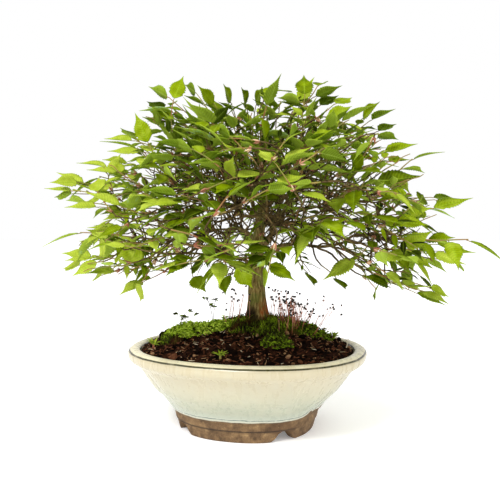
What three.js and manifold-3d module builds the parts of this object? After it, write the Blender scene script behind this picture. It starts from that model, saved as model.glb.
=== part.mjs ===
// A small hornbeam grown as a broom-shaped bonsai, in an oval glazed pot on four low feet.
// Millimetres, +Z up. The viewer stands on the -Y side, +X to the right, and the feet rest at z = 0.
//
// The pot is one fired piece. It holds two drain screens and a mound of soil, on which moss and
// small weeds grow. The tree's trunk, boughs and branches are one piece of wood, which stands in a
// plain hole in the soil. Each leafy shoot is a piece of its own, just clear of its branch's end.

import * as THREE from 'three';
import { mergeVertices } from 'three/addons/utils/BufferGeometryUtils.js';
import Module from 'manifold-3d';

const wasm = await Module();
wasm.setup();

// ---------------------------------------------------------------- driving dimensions

const gap = 0.3; // between pieces that touch
const degree = Math.PI / 180;

const potTurn = -16 * degree; // the oval's right end comes towards the viewer
const potSides = 32; // facets round the pot
const potPower = 2.22; // the oval is a superellipse, a little squarer than an ellipse
const rimRadius = 142; // half the oval's length, over the lip
const potHeight = 94;
const rimSlenderness = 0.84; // the oval's width over its length, at the lip
const footSlenderness = 0.96; // and at the feet
const footHeight = 21;
const baseUnderside = 12; // the underside between the feet
const floorHeight = 22; // the floor inside
const wallSlant = 10.5; // the wall's thickness, measured level through its slope

const archHeight = 12.5; // of the cut-outs between the feet
const archWidth = 33;
const archTurn = 43.5; // from the oval's long axis, in degrees
const drainRadius = 10;
const drainPlace = 36; // of the two drain holes, each way from the middle

const screenSize = 32;
const screenThickness = 1.2;
const screenCells = 2;
const screenWire = 3;

const soilEdge = 90; // the soil's level at the pot's wall
const soilRise = 29; // and how much higher it is in the middle
const soilPower = 2.2;
const soilLump = 1.3;

const trunkBase = new THREE.Vector3(13, 0, 92); // the foot of the trunk, in its hole
const trunkTop = new THREE.Vector3(24, 2, 276);
const trunkLow = new THREE.Vector3(14, 0, 150); // the two points that bend it
const trunkHigh = new THREE.Vector3(4, -3, 210);
const trunkThick = 13.2; // its radius at the soil, less the flare
const trunkThin = 4.4; // and at its top
const flareRadius = 5.4; // what the root flare adds
const flareHeight = 112;
const flareReach = 21;
const trunkSides = 10;
const trunkRings = [104, 116, 127, 140, 158, 180, 205, 232, 256]; // heights of its facets
const fluteDepth = 0.07; // a hornbeam's trunk is fluted

const crownMiddle = new THREE.Vector3(16, 0, 226); // the crown's dome is measured from here
const crownHalfWidth = 260;
const crownHalfDepth = 218;
const crownRise = 196;
const crownDrop = 72;
const crownRoundness = 1.9; // of the dome
const skirtRoundness = 4; // and of its flat underside
const outerShoots = 30;
const innerShoots = 7;
const lowestShoot = -0.14; // sine of the lowest shoots' angle below level
const innerShare = 0.67; // how far out the inner shoots reach

const boughHeights = [178, 186, 194, 203, 212, 236, 250, 262];
const lowBoughs = 5; // the first of them carry the skirt, the others the top
const twigRadius = 1.05; // of a branch that carries one shoot; a thicker one has the sum of their areas
const forkShare = 0.47; // how far a limb goes towards the shoots it carries before it forks
const forkStray = 12;
const lowShare = 0.6; // of the shoots, those on the low boughs
const limbSides = 4;

const shootLength = 66;
const shootRise = 14; // the shoots grow away from a point this far below the crown's middle
const shootStray = 0.3; // from that direction
const stemStray = 2.4; // of a stem's joints from a straight line
const leafPlaces = 5; // along a shoot
const shootRadius = 1.5; // to the corners of a three-sided stem
const leafLength = 40;
const leafWidth = 0.45; // over its length
const leafThickness = 0.8;
const leafSpread = 50 * degree; // between a leaf and its shoot
const leafClearance = 1.5;
const leafDroop = 0.5;
const leafLevel = 0.7; // how far blades turn to face up
const leafFold = 0.22; // how steeply its halves rise from its middle
const leafArch = 0.16; // how far its point bends down, over its length
const leafTurns = [0, 0.35, -0.35, 0.7, -0.7]; // tried in turn to clear what is near

// One seed for each random draw.
const seeds = { soil: 3, tips: 42, shoots: 8, limbs: 13, leaves: 21 };

// [name, x, y, half length, half width, thickness, seed stalks, seed]
const mossCushions = [
  ['moss_round_trunk', 28, -2, 64, 48, 6.5, 10, 41],
  ['moss_left', -80, -14, 24, 26, 5.5, 0, 42],
  ['moss_front', 34, -70, 15, 9, 4, 0, 43],
];

// [name, x, y, blades, blade length, rise of the blades over their length, seed]
const weedPlaces = [
  ['weed_front', -28, -92, 5, 10, 0.7, 31],
  ['weed_left', -108, -30, 5, 12, 0.9, 32],
  ['weed_right', 104, -4, 5, 11, 1.0, 33],
];

// ---------------------------------------------------------------- colours

const finish = {
  glaze: { color: 0xe6dcbd, roughness: 0.25 },
  soil: { color: 0x3a241b, roughness: 0.95 },
  screen: { color: 0x2b2d2c, roughness: 0.7 },
  bark: { color: 0x5b4a37, roughness: 0.85 },
  moss: { color: 0x5a7a22, roughness: 0.95 },
  weed: { color: 0x6fa02c, roughness: 0.7 },
  leaf: { color: 0x6f9c22, roughness: 0.5 },
};

// ---------------------------------------------------------------- small tools

const up = new THREE.Vector3(0, 0, 1);
const anyWay = new THREE.Vector3(0.31, 0.87, 0.38); // no limb lies along it

// A repeatable random draw from 0 to 1.
function makeRandom(seed) {
  const modulus = 2147483647;
  let state = (seed * 48271 + 11) % modulus;
  return () => {
    state = (state * 16807) % modulus;
    return state / modulus;
  };
}

function mix(a, b, share) {
  return a + (b - a) * share;
}

// A three.js geometry as a closed solid, its seams merged and its empty triangles left out.
function solidOf(geometry) {
  const bare = geometry.clone();
  bare.deleteAttribute('normal');
  bare.deleteAttribute('uv');
  const merged = mergeVertices(bare, 1e-4);
  const corners = [];
  for (let i = 0; i < merged.index.count; i += 3) {
    const [a, b, c] = [0, 1, 2].map((k) => merged.index.getX(i + k));
    if (a !== b && b !== c && c !== a) corners.push(a, b, c);
  }
  return new wasm.Manifold(new wasm.Mesh({
    numProp: 3,
    vertProperties: new Float32Array(merged.attributes.position.array),
    triVerts: new Uint32Array(corners),
  }));
}

function joined(solids) {
  let whole = solids[0];
  for (const solid of solids.slice(1)) whole = whole.add(solid);
  return whole;
}

// A cut solid without the loose scraps of the cut.
function largest(solid) {
  return solid.decompose().reduce((a, b) => (b.volume() > a.volume() ? b : a));
}

function meshOf(name, look, solid) {
  const { vertProperties, triVerts } = solid.getMesh();
  const geometry = new THREE.BufferGeometry();
  geometry.setAttribute('position', new THREE.BufferAttribute(vertProperties, 3));
  geometry.setIndex(new THREE.BufferAttribute(triVerts, 1));
  geometry.computeVertexNormals();
  const mesh = new THREE.Mesh(geometry, new THREE.MeshStandardMaterial({ ...look, flatShading: true }));
  mesh.name = name;
  return mesh;
}

// Moves every vertex of a geometry by a rule.
function reshape(geometry, rule) {
  const points = geometry.attributes.position;
  const point = new THREE.Vector3();
  for (let i = 0; i < points.count; i += 1) {
    point.fromBufferAttribute(points, i);
    rule(point);
    points.setXYZ(i, point.x, point.y, point.z);
  }
  return geometry;
}

// A turned shape about Z, from [radius, height] pairs that start and end on the axis.
function turned(profile, sides) {
  const outline = profile.map(([radius, height]) => new THREE.Vector2(radius, height));
  return new THREE.LatheGeometry(outline, sides).rotateX(Math.PI / 2);
}

// A round limb through a row of points, with a ring of the given radius at each. The end rings stand
// square to the first and the last stretch, and the others halve the bend.
function limb(points, radii, sides) {
  const last = points.length - 1;
  const stretch = (i) => points[i + 1].clone().sub(points[i]).normalize();
  const rod = new THREE.CylinderGeometry(1, 1, 1, sides, last);
  return reshape(rod, (point) => {
    const i = Math.round((point.y + 0.5) * last);
    const way = i === 0 ? stretch(0) : stretch(i - 1);
    if (i > 0 && i < last) way.add(stretch(i)).normalize();
    const side = anyWay.clone().cross(way).normalize();
    const front = new THREE.Vector3().crossVectors(side, way);
    const across = side.multiplyScalar(point.x).addScaledVector(front, point.z);
    point.copy(points[i]).addScaledVector(across, radii[i]);
  });
}

// ---------------------------------------------------------------- pot

function slenderness(height) {
  return mix(footSlenderness, rimSlenderness, height / potHeight);
}

// Presses a turned shape into the pot's oval.
function toOval(point) {
  const radius = Math.hypot(point.x, point.y);
  if (radius === 0) return;
  const squared = (share) => Math.sign(share) * Math.abs(share) ** (2 / potPower);
  point.x = radius * squared(point.x / radius);
  point.y = radius * squared(point.y / radius) * slenderness(point.z);
}

// The outside from the foot to under the lip, and the lip itself.
const footOutside = [[79.5, 0], [83, 12.2], [84.3, 13], [86, footHeight]];
const wallOutside = [[99.6, 38.8], [109.6, 48.5], [117.5, 58.8], [129, 74]];
const lip = [
  [134.5, 77.6], [140, 81.8], [rimRadius, 88], [139.6, 92],
  [134, potHeight], [129.4, 93.2], [127.2, 90.6],
];
const wallInside = [
  ...wallOutside.map(([radius, height]) => [radius - wallSlant, height + 2]).reverse(),
  [78, 27.5],
  [66, floorHeight],
];

function makePot() {
  const profile = [
    [0, baseUnderside], [69, baseUnderside], [70.5, 0], ...footOutside,
    ...wallOutside, ...lip, ...wallInside, [0, floorHeight],
  ];
  let pot = solidOf(reshape(turned(profile, potSides), toOval));

  // Cut-outs between the feet: cloud-shaped arches through the foot ring, near the diagonals.
  const half = archWidth / 2;
  const arch = new THREE.Shape();
  arch.moveTo(-half, -1);
  arch.quadraticCurveTo(-half * 0.62, archHeight * 0.2, -half * 0.5, archHeight * 0.66);
  arch.quadraticCurveTo(0, archHeight * 1.34, half * 0.5, archHeight * 0.66);
  arch.quadraticCurveTo(half * 0.62, archHeight * 0.2, half, -1);
  const reach = 48;
  for (const turn of [archTurn, 180 - archTurn, 180 + archTurn, 360 - archTurn]) {
    const cutter = new THREE.ExtrudeGeometry(arch, { depth: reach, bevelEnabled: false, curveSegments: 3 });
    cutter.rotateX(Math.PI / 2).translate(0, reach / 2, 0);
    cutter.translate(0, rimRadius * 0.52, 0).rotateZ((turn - 90) * degree);
    pot = pot.subtract(solidOf(cutter));
  }
  for (const side of [-1, 1]) {
    const drain = new THREE.CylinderGeometry(drainRadius, drainRadius, footHeight * 2, 16);
    drain.rotateX(Math.PI / 2).translate(side * drainPlace, 0, footHeight);
    pot = pot.subtract(solidOf(drain));
  }
  const mesh = meshOf('pot', finish.glaze, pot);
  mesh.rotation.z = potTurn;
  return mesh;
}

// The room that a drain screen takes out of the soil.
function screenRecess(side) {
  const size = screenSize + 2 * gap;
  const recess = new THREE.BoxGeometry(size, size, 2 * (screenThickness + 2 * gap));
  return solidOf(recess.translate(side * drainPlace, 0, floorHeight).rotateZ(potTurn));
}

// A square of drain mesh over one of the holes.
function makeScreen(name, side) {
  const reach = screenSize - screenWire;
  const bars = [];
  for (let i = 0; i <= screenCells; i += 1) {
    const place = reach * (i / screenCells - 0.5);
    const along = new THREE.BoxGeometry(screenSize, screenWire, screenThickness);
    const across = new THREE.BoxGeometry(screenWire, screenSize, screenThickness);
    bars.push(solidOf(along.translate(0, place, 0)), solidOf(across.translate(place, 0, 0)));
  }
  const height = floorHeight + gap + screenThickness / 2;
  const screen = joined(bars).translate([side * drainPlace, 0, height]);
  const mesh = meshOf(name, finish.screen, screen);
  mesh.rotation.z = potTurn;
  return mesh;
}

// ---------------------------------------------------------------- soil and what grows on it

const soilRadius = 126.2; // where the soil meets the pot's wall

// The mound's height at a place, without its lumps.
function soilHeight(x, y) {
  const alongX = x * Math.cos(potTurn) + y * Math.sin(potTurn);
  const alongY = y * Math.cos(potTurn) - x * Math.sin(potTurn);
  const level = (Math.abs(alongX) / soilRadius) ** potPower
    + (Math.abs(alongY) / (soilRadius * slenderness(soilEdge))) ** potPower;
  const share = Math.min(1, level ** (1 / potPower));
  return soilEdge + soilRise * (1 - share ** soilPower);
}

function makeSoilBody() {
  const random = makeRandom(seeds.soil);
  const clear = gap * 1.6;
  const sides = wallInside.slice().reverse().filter(([, height]) => height < soilEdge - 8);
  const topShares = [0.9, 0.7, 0.46, 0.22];
  const profile = [
    [0, floorHeight + gap], ...sides.map(([radius, height]) => [radius - clear, height + gap]),
    [soilRadius - clear, soilEdge],
    ...topShares.map((share) => [soilRadius * share, soilEdge + 0.1]), [0, soilEdge + 0.1],
  ];
  const body = reshape(turned(profile, potSides), toOval).rotateZ(potTurn);
  // The lumps have to be the same where the turned shape closes on itself.
  const lumps = new Map();
  return solidOf(reshape(body, (point) => {
    if (point.z < soilEdge + 0.05) return;
    const key = `${Math.round(point.x * 10)} ${Math.round(point.y * 10)}`;
    if (!lumps.has(key)) lumps.set(key, (random() - 0.5) * 2 * soilLump);
    point.z = soilHeight(point.x, point.y) + lumps.get(key);
  }));
}

// A thin stalk that leans, with a small seed capsule at its top.
function capsuleStalk(x, y, length, lean, turn) {
  const foot = new THREE.Vector3(x, y, soilHeight(x, y) + 1.5);
  const way = new THREE.Vector3(lean * Math.cos(turn), lean * Math.sin(turn), 1).normalize();
  const reaches = [0, length - 4.5, length - 2.2, length];
  const points = reaches.map((reach) => foot.clone().addScaledVector(way, reach));
  return solidOf(limb(points, [0.8, 0.45, 1.4, 0.2], 3));
}

// A cushion of moss: a low irregular dome whose underside follows the soil, with seed stalks on it.
function makeCushion(soilBody, x, y, halfLength, halfWidth, thickness, stalks, seed) {
  const random = makeRandom(seed);
  const sides = 14;
  const shares = [1, 0.72, 0.38];
  const profile = [[0, -1], [1, -1], ...shares.map((share) => [share, 1]), [0, 1]];
  const phase = random() * 6;
  const bumps = new Map();
  const dome = reshape(turned(profile, sides), (point) => {
    const share = Math.hypot(point.x, point.y);
    const angle = Math.atan2(point.y, point.x);
    const wave = 1 + 0.13 * Math.sin(3 * angle + phase) + 0.08 * Math.sin(7 * angle + 2 * phase);
    const key = `${Math.round(point.x * 1000)} ${Math.round(point.y * 1000)}`;
    if (!bumps.has(key)) bumps.set(key, random());
    point.x = x + point.x * halfLength * wave;
    point.y = y + point.y * halfWidth * wave;
    const crest = thickness * (1 - 0.55 * share ** 3) + bumps.get(key) * thickness * 0.45;
    point.z = soilHeight(point.x, point.y) + (point.z > 0 ? crest : -6);
  });
  const pieces = [largest(solidOf(dome).subtract(soilBody.translate([0, 0, gap])))];
  for (let i = 0; i < stalks; i += 1) {
    const turn = random() * 2 * Math.PI;
    const reach = 0.4 + 0.35 * random();
    const stalkX = x + halfLength * reach * Math.cos(turn);
    const stalkY = y + halfWidth * reach * Math.sin(turn);
    pieces.push(capsuleStalk(stalkX, stalkY, mix(20, 34, random()), mix(-0.3, 0.3, random()), turn));
  }
  return joined(pieces);
}

// A small weed: a star of pointed blades, raised at their tips, on a root peg in its hole.
function makeWeed(x, y, blades, length, rise, seed) {
  const random = makeRandom(seed);
  const ground = soilHeight(x, y);
  const peg = (extra) => {
    const rod = new THREE.CylinderGeometry(1.7 + extra, 1.3 + extra, 12 + 2 * extra, 6);
    return solidOf(rod.rotateX(Math.PI / 2).translate(x, y, ground));
  };
  const count = 2 * blades;
  const sizes = Array.from({ length: count }, (_, i) => (i % 2 ? 1.9 : length * (0.8 + 0.4 * random())));
  const star = new THREE.CylinderGeometry(1, 1, 1, count, 1).rotateX(Math.PI / 2);
  reshape(star, (point) => {
    if (Math.hypot(point.x, point.y) > 0.5) {
      const turn = Math.atan2(point.y, point.x);
      const size = sizes[Math.round((turn / (2 * Math.PI)) * count + count + blades / 2) % count];
      point.x *= size;
      point.y *= size;
      point.z += rise * (size - 1.9);
    }
    point.add(new THREE.Vector3(x, y, ground + 5.6));
  });
  return { weed: peg(0).add(solidOf(star)), hole: peg(gap * 1.2) };
}

// ---------------------------------------------------------------- the tree's plan

// A point of the crown's dome, by the sine of its angle above level and its direction round.
function domePoint(sine, turn, share) {
  const level = Math.sqrt(1 - sine * sine);
  const way = new THREE.Vector3(level * Math.cos(turn), level * Math.sin(turn), sine);
  const power = sine > 0 ? crownRoundness : skirtRoundness;
  const reach = (Math.abs(way.x) / crownHalfWidth) ** power
    + (Math.abs(way.y) / crownHalfDepth) ** power
    + (Math.abs(way.z) / (sine > 0 ? crownRise : crownDrop)) ** power;
  return way.multiplyScalar(share * reach ** (-1 / power)).add(crownMiddle);
}

// Where each shoot ends: spread evenly over the dome, and again over a smaller dome inside it.
function shootTips() {
  const random = makeRandom(seeds.tips);
  const goldenTurn = Math.PI * (3 - Math.sqrt(5));
  const tips = [];
  for (const [count, share, lowest] of [[outerShoots, 1, lowestShoot], [innerShoots, innerShare, 0.05]]) {
    for (let i = 0; i < count; i += 1) {
      const sine = mix(0.985, lowest, (i + 0.5) / count);
      const turn = i * goldenTurn + (random() - 0.5) * 0.3;
      tips.push(domePoint(sine, turn, share * (0.94 + 0.06 * random())));
    }
  }
  return tips;
}

function shaken(point, amount, random) {
  point.x += (random() - 0.5) * amount;
  point.y += (random() - 0.5) * amount;
  point.z += (random() - 0.5) * amount;
  return point;
}

// Each shoot: the way it grows, its stem's points, and the start where its branch ends.
function planShoots() {
  const random = makeRandom(seeds.shoots);
  return shootTips().map((tip) => {
    const way = tip.clone().sub(crownMiddle).addScaledVector(up, shootRise);
    shaken(way.normalize(), shootStray, random).normalize();
    const step = (shootLength / leafPlaces) * (0.85 + 0.3 * random());
    const end = tip.clone().addScaledVector(way, -leafLength * 0.8);
    const start = end.clone().addScaledVector(way, -step * leafPlaces);
    const stem = [];
    for (let i = 0; i <= leafPlaces; i += 1) {
      const point = start.clone().addScaledVector(way, i * step);
      stem.push(i < 2 ? point : shaken(point, stemStray, random));
    }
    return { start, way, stem };
  });
}

// The boughs fork in two, again and again, until each branch carries one shoot. At a fork one half
// goes on in the same limb, and the other starts a limb of its own, sunk in the first.
function growLimb(points, radii, shoots, random, limbs) {
  const from = points[points.length - 1];
  const radius = twigRadius * Math.sqrt(shoots.length);
  if (shoots.length === 1) {
    const { start, way } = shoots[0];
    const near = start.clone().addScaledVector(way, -Math.min(14, from.distanceTo(start) * 0.4));
    limbs.push({ points: [...points, near, start], radii: [...radii, radius, radius] });
    return;
  }
  const middle = new THREE.Vector3();
  for (const shoot of shoots) middle.addScaledVector(shoot.start, 1 / shoots.length);
  const fork = shaken(from.clone().lerp(middle, forkShare), forkStray, random);
  const spreadAlong = (axis) => {
    const values = shoots.map((shoot) => shoot.start[axis]);
    return Math.max(...values) - Math.min(...values);
  };
  const axis = ['x', 'y', 'z'].reduce((a, b) => (spreadAlong(b) > spreadAlong(a) ? b : a));
  const sorted = shoots.slice().sort((a, b) => a.start[axis] - b.start[axis]);
  const half = Math.ceil(sorted.length / 2);
  growLimb([...points, fork], [...radii, radius], sorted.slice(0, half), random, limbs);
  growLimb([fork], [radius * 0.6], sorted.slice(half), random, limbs);
}

const trunkCurve = new THREE.CubicBezierCurve3(trunkBase, trunkLow, trunkHigh, trunkTop);

// The share of the trunk's curve at a height.
function trunkShare(height) {
  let low = 0;
  let high = 1;
  for (let i = 0; i < 30; i += 1) {
    const half = (low + high) / 2;
    if (trunkCurve.getPoint(half).z < height) low = half;
    else high = half;
  }
  return low;
}

// The trunk's radius, from the foot in the soil to where it ends in boughs.
function trunkRadius(height) {
  const flare = flareRadius * Math.exp(-(((height - flareHeight) / flareReach) ** 2));
  const share = (height - trunkBase.z) / (trunkTop.z - trunkBase.z);
  return flare + mix(trunkThick, trunkThin, Math.min(1, Math.max(0, share)));
}

function planLimbs(shoots) {
  const random = makeRandom(seeds.limbs);
  const groups = boughHeights.map(() => []);
  const heights = shoots.map((shoot) => shoot.start.z).sort((a, b) => a - b);
  const divide = heights[Math.floor(heights.length * lowShare)];
  for (const shoot of shoots) {
    const turn = Math.atan2(shoot.start.y - trunkTop.y, shoot.start.x - trunkTop.x) / (2 * Math.PI) + 0.5;
    const isLow = shoot.start.z < divide;
    const count = isLow ? lowBoughs : boughHeights.length - lowBoughs;
    const index = Math.min(count - 1, Math.floor(turn * count));
    groups[isLow ? index : lowBoughs + index].push(shoot);
  }
  const limbs = [];
  groups.forEach((group, i) => {
    if (group.length === 0) return;
    const from = trunkCurve.getPoint(trunkShare(boughHeights[i]));
    const middle = new THREE.Vector3();
    for (const shoot of group) middle.addScaledVector(shoot.start, 1 / group.length);
    const reach = from.distanceTo(middle);
    const rise = new THREE.Vector3(0, 0, reach * 0.1);
    const bend = from.clone().lerp(middle, 0.2).add(rise);
    const radius = twigRadius * Math.sqrt(group.length);
    growLimb([from, bend], [radius, radius * 1.1], group, random, limbs);
  });
  return limbs;
}

// The balls that a row of points fills, for keeping leaves clear of it.
function ballsAlong(points, radius, spacing) {
  const balls = [];
  for (let i = 1; i < points.length; i += 1) {
    const count = Math.ceil(points[i].distanceTo(points[i - 1]) / spacing);
    for (let k = 0; k < count; k += 1) {
      balls.push({ at: points[i - 1].clone().lerp(points[i], k / count), radius });
    }
  }
  return balls;
}

// The balls that a leaf fills, from its stalk to its point.
function ballsOfLeaf(leaf) {
  const half = (leaf.length * leafWidth) / 2;
  return [[0.22, 0.7], [0.45, 1], [0.7, 0.75], [0.95, 0.25]].map(([share, width]) => ({
    at: leaf.base.clone().addScaledVector(leaf.along, leaf.length * share),
    radius: half * width,
  }));
}

// The leaves of one shoot, in two ranks and one at its end. One that would meet another shoot or a
// branch is turned clear, and left out where no turn clears it.
function planLeaves(shoot, taken, random) {
  const sideways = new THREE.Vector3().crossVectors(shoot.way, up);
  if (sideways.length() < 0.3) sideways.set(1, 0.3, 0);
  sideways.normalize().applyAxisAngle(shoot.way, (random() - 0.5) * 1.1);
  const face = new THREE.Vector3().crossVectors(sideways, shoot.way).normalize();
  let side = random() < 0.5 ? -1 : 1;
  const leaves = [];
  for (let place = 1; place <= leafPlaces; place += 1) {
    side = -side;
    const length = leafLength * (0.8 + 0.12 * Math.min(place, 3)) * (0.85 + 0.25 * random());
    const tilt = (random() - 0.5) * 0.6;
    const droop = leafDroop * (0.5 + random());
    const isLast = place === leafPlaces;
    const spread = (isLast ? 0.18 : 1) * leafSpread * side * (0.85 + 0.3 * random());
    const base = shoot.stem[place - 1].clone().lerp(shoot.stem[place], isLast ? 0.85 : 0.6);
    for (const turn of leafTurns) {
      const along = shoot.way.clone().multiplyScalar(Math.cos(spread));
      along.addScaledVector(sideways, Math.sin(spread)).addScaledVector(up, -droop);
      along.normalize().applyAxisAngle(sideways, turn).normalize();
      const normal = face.clone().applyAxisAngle(shoot.way, tilt).lerp(up, leafLevel);
      normal.addScaledVector(along, -normal.dot(along)).normalize();
      const leaf = { base, along, normal, length };
      const balls = ballsOfLeaf(leaf);
      const isClear = taken.every((other) => other.owner === shoot || balls.every(
        (ball) => ball.at.distanceTo(other.at) > ball.radius + other.radius + leafClearance,
      ));
      if (isClear) {
        leaves.push(leaf);
        for (const ball of balls) taken.push({ ...ball, owner: shoot });
        break;
      }
    }
  }
  return leaves;
}

function planTree() {
  const shoots = planShoots();
  const limbs = planLimbs(shoots);
  const random = makeRandom(seeds.leaves);
  const taken = [];
  for (const { points, radii } of limbs) taken.push(...ballsAlong(points, radii[1], 5));
  for (const shoot of shoots) {
    for (const ball of ballsAlong(shoot.stem, shootRadius, 5)) taken.push({ ...ball, owner: shoot });
  }
  for (const shoot of shoots) shoot.leaves = planLeaves(shoot, taken, random);
  return { shoots, limbs };
}

// ---------------------------------------------------------------- wood and leaves

// The trunk, or with something extra all round and below it, its hole.
function trunkSolid(extra) {
  const heights = [trunkBase.z - extra, ...trunkRings, trunkTop.z];
  const points = heights.map((height) => {
    const point = trunkCurve.getPoint(trunkShare(Math.max(height, trunkBase.z)));
    return point.setZ(height);
  });
  const rod = limb(points, heights.map((height) => trunkRadius(height) + extra), trunkSides);
  const centres = heights.map((height, i) => ({ height, centre: points[i] }));
  return solidOf(reshape(rod, (point) => {
    const near = centres.reduce((a, b) => (
      Math.abs(b.height - point.z) < Math.abs(a.height - point.z) ? b : a
    ));
    const angle = Math.atan2(point.y - near.centre.y, point.x - near.centre.x);
    const flute = 1 + fluteDepth * Math.sin(3 * angle + 0.4) + fluteDepth * 0.5 * Math.sin(5 * angle);
    point.x = near.centre.x + (point.x - near.centre.x) * flute;
    point.y = near.centre.y + (point.y - near.centre.y) * flute;
  }));
}

function makeWood(limbs) {
  const pieces = limbs.map(({ points, radii }) => solidOf(limb(points, radii, limbSides)));
  return joined([trunkSolid(0), ...pieces]);
}

// A leaf's edge as [share of its length, share of its half width]: its shoulder, a tooth and the
// notch before the next, with the stalk's end and the point between the two sides.
const leafSide = [[0.2, 0.78], [0.5, 1], [0.56, 0.72]];
const leafOutline = [
  [0, 0],
  ...leafSide.map(([along, across]) => [along, -across]),
  [1, 0],
  ...leafSide.slice().reverse(),
];

// One blade: a thin slab, its rim pushed out to the toothed outline and its middle a shallow trough.
function leafSolid(leaf) {
  const count = leafOutline.length;
  const slab = new THREE.CylinderGeometry(1, 1, 1, count, 1);
  const half = (leaf.length * leafWidth) / 2;
  reshape(slab, (point) => {
    const isMiddle = Math.hypot(point.x, point.z) < 0.5;
    const index = Math.round((Math.atan2(point.x, point.z) / (2 * Math.PI)) * count + count) % count;
    const [along, across] = isMiddle ? [0.45, 0] : leafOutline[index];
    const fold = leafFold * Math.abs(across) * half;
    const arch = -leafArch * leaf.length * along * along;
    point.set(along * leaf.length, across * half, fold + arch + point.y * leafThickness);
  });
  const across = new THREE.Vector3().crossVectors(leaf.normal, leaf.along);
  const place = new THREE.Matrix4().makeBasis(leaf.along, across, leaf.normal).setPosition(leaf.base);
  return solidOf(slab.applyMatrix4(place));
}

function makeShoot(shoot) {
  const clearStart = shoot.start.clone().addScaledVector(shoot.way, gap);
  const radii = shoot.stem.map((_, i) => shootRadius * (1 - 0.05 * i));
  const stem = limb([clearStart, ...shoot.stem.slice(1)], radii, 3);
  return joined([solidOf(stem), ...shoot.leaves.map(leafSolid)]);
}

// ---------------------------------------------------------------- the whole plant

const bonsai = new THREE.Group();
bonsai.add(makePot());

const soilBody = makeSoilBody();
const trunkHole = trunkSolid(gap * 1.2);
let soil = soilBody.subtract(trunkHole);
for (const [name, side] of [['drain_screen_left', -1], ['drain_screen_right', 1]]) {
  bonsai.add(makeScreen(name, side));
  soil = soil.subtract(screenRecess(side));
}
for (const [name, x, y, halfLength, halfWidth, thickness, stalks, seed] of mossCushions) {
  const cushion = makeCushion(soilBody, x, y, halfLength, halfWidth, thickness, stalks, seed);
  bonsai.add(meshOf(name, finish.moss, largest(cushion.subtract(trunkHole))));
}
for (const [name, x, y, blades, length, rise, seed] of weedPlaces) {
  const { weed, hole } = makeWeed(x, y, blades, length, rise, seed);
  soil = soil.subtract(hole);
  bonsai.add(meshOf(name, finish.weed, weed));
}
bonsai.add(meshOf('soil', finish.soil, soil));

const tree = planTree();
bonsai.add(meshOf('trunk', finish.bark, makeWood(tree.limbs)));
tree.shoots.forEach((shoot, i) => {
  const name = `shoot_${String(i + 1).padStart(2, '0')}`;
  bonsai.add(meshOf(name, finish.leaf, makeShoot(shoot)));
});

// The origin is under the middle of the whole plant's box.
bonsai.updateMatrixWorld(true);
const middle = new THREE.Box3().setFromObject(bonsai, true).getCenter(new THREE.Vector3());
bonsai.position.set(-middle.x, -middle.y, 0);

export default bonsai;
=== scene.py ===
# A small hornbeam grown as a broom-shaped bonsai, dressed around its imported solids.
import functools
import itertools
import math

import bpy
import numpy as np
from mathutils import Matrix, Vector


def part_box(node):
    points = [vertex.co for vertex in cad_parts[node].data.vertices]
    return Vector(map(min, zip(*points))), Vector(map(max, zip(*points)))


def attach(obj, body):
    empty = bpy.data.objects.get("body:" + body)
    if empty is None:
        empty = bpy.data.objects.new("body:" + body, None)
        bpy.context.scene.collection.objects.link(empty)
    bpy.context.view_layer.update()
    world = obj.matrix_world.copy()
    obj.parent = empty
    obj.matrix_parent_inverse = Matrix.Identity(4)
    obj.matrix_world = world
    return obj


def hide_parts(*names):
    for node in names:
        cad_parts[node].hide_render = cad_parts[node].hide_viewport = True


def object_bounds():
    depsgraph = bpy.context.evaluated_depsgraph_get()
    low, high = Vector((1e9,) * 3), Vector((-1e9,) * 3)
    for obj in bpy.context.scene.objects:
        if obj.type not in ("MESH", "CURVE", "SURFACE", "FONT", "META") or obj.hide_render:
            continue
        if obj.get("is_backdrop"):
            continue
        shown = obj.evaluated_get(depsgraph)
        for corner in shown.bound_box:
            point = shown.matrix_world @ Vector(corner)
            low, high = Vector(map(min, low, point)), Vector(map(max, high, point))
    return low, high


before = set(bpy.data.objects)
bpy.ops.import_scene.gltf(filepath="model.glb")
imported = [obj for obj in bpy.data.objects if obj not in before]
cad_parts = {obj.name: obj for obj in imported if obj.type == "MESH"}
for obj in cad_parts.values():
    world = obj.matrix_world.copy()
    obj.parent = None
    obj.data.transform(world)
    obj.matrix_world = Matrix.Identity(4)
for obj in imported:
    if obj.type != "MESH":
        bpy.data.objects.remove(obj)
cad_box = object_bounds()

# Places are worked out in millimetres from the middle of the pot's foot, as in the CAD model, and go
# into the row's frame, in metres, as each piece is made.
MM = 0.001
pot_low, pot_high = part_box("pot")
HOME = np.array([(pot_low.x + pot_high.x) / 2, (pot_low.y + pot_high.y) / 2, 0.0])
UP = np.array([0.0, 0.0, 1.0])
DEGREE = math.pi / 180
GOLDEN_TURN = math.pi * (3 - math.sqrt(5))

# ---------------------------------------------------------------- the CAD model's driving dimensions

GAP = 0.3
POT_TURN = -16 * DEGREE
POT_POWER = 2.22
POT_HEIGHT = 94
RIM_SLENDERNESS = 0.84
FOOT_SLENDERNESS = 0.96
BASE_UNDERSIDE = 12
FLOOR_HEIGHT = 22
WALL_SLANT = 10.5
ARCH_HEIGHT = 12.5
ARCH_WIDTH = 33
ARCH_TURN = 43.5 * DEGREE
DRAIN_RADIUS = 10
DRAIN_PLACE = 36
WALL_OUTSIDE = [(99.6, 38.8), (109.6, 48.5), (117.5, 58.8), (129, 74)]
LIP = [(134.5, 77.6), (140, 81.8), (142, 88), (139.6, 92), (134, 94), (129.4, 93.2), (127.2, 90.6)]
SCREENS = ("drain_screen_left", "drain_screen_right")

SOIL_EDGE = 90
SOIL_RISE = 29
SOIL_POWER = 2.2
SOIL_RADIUS = 126.2

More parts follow.
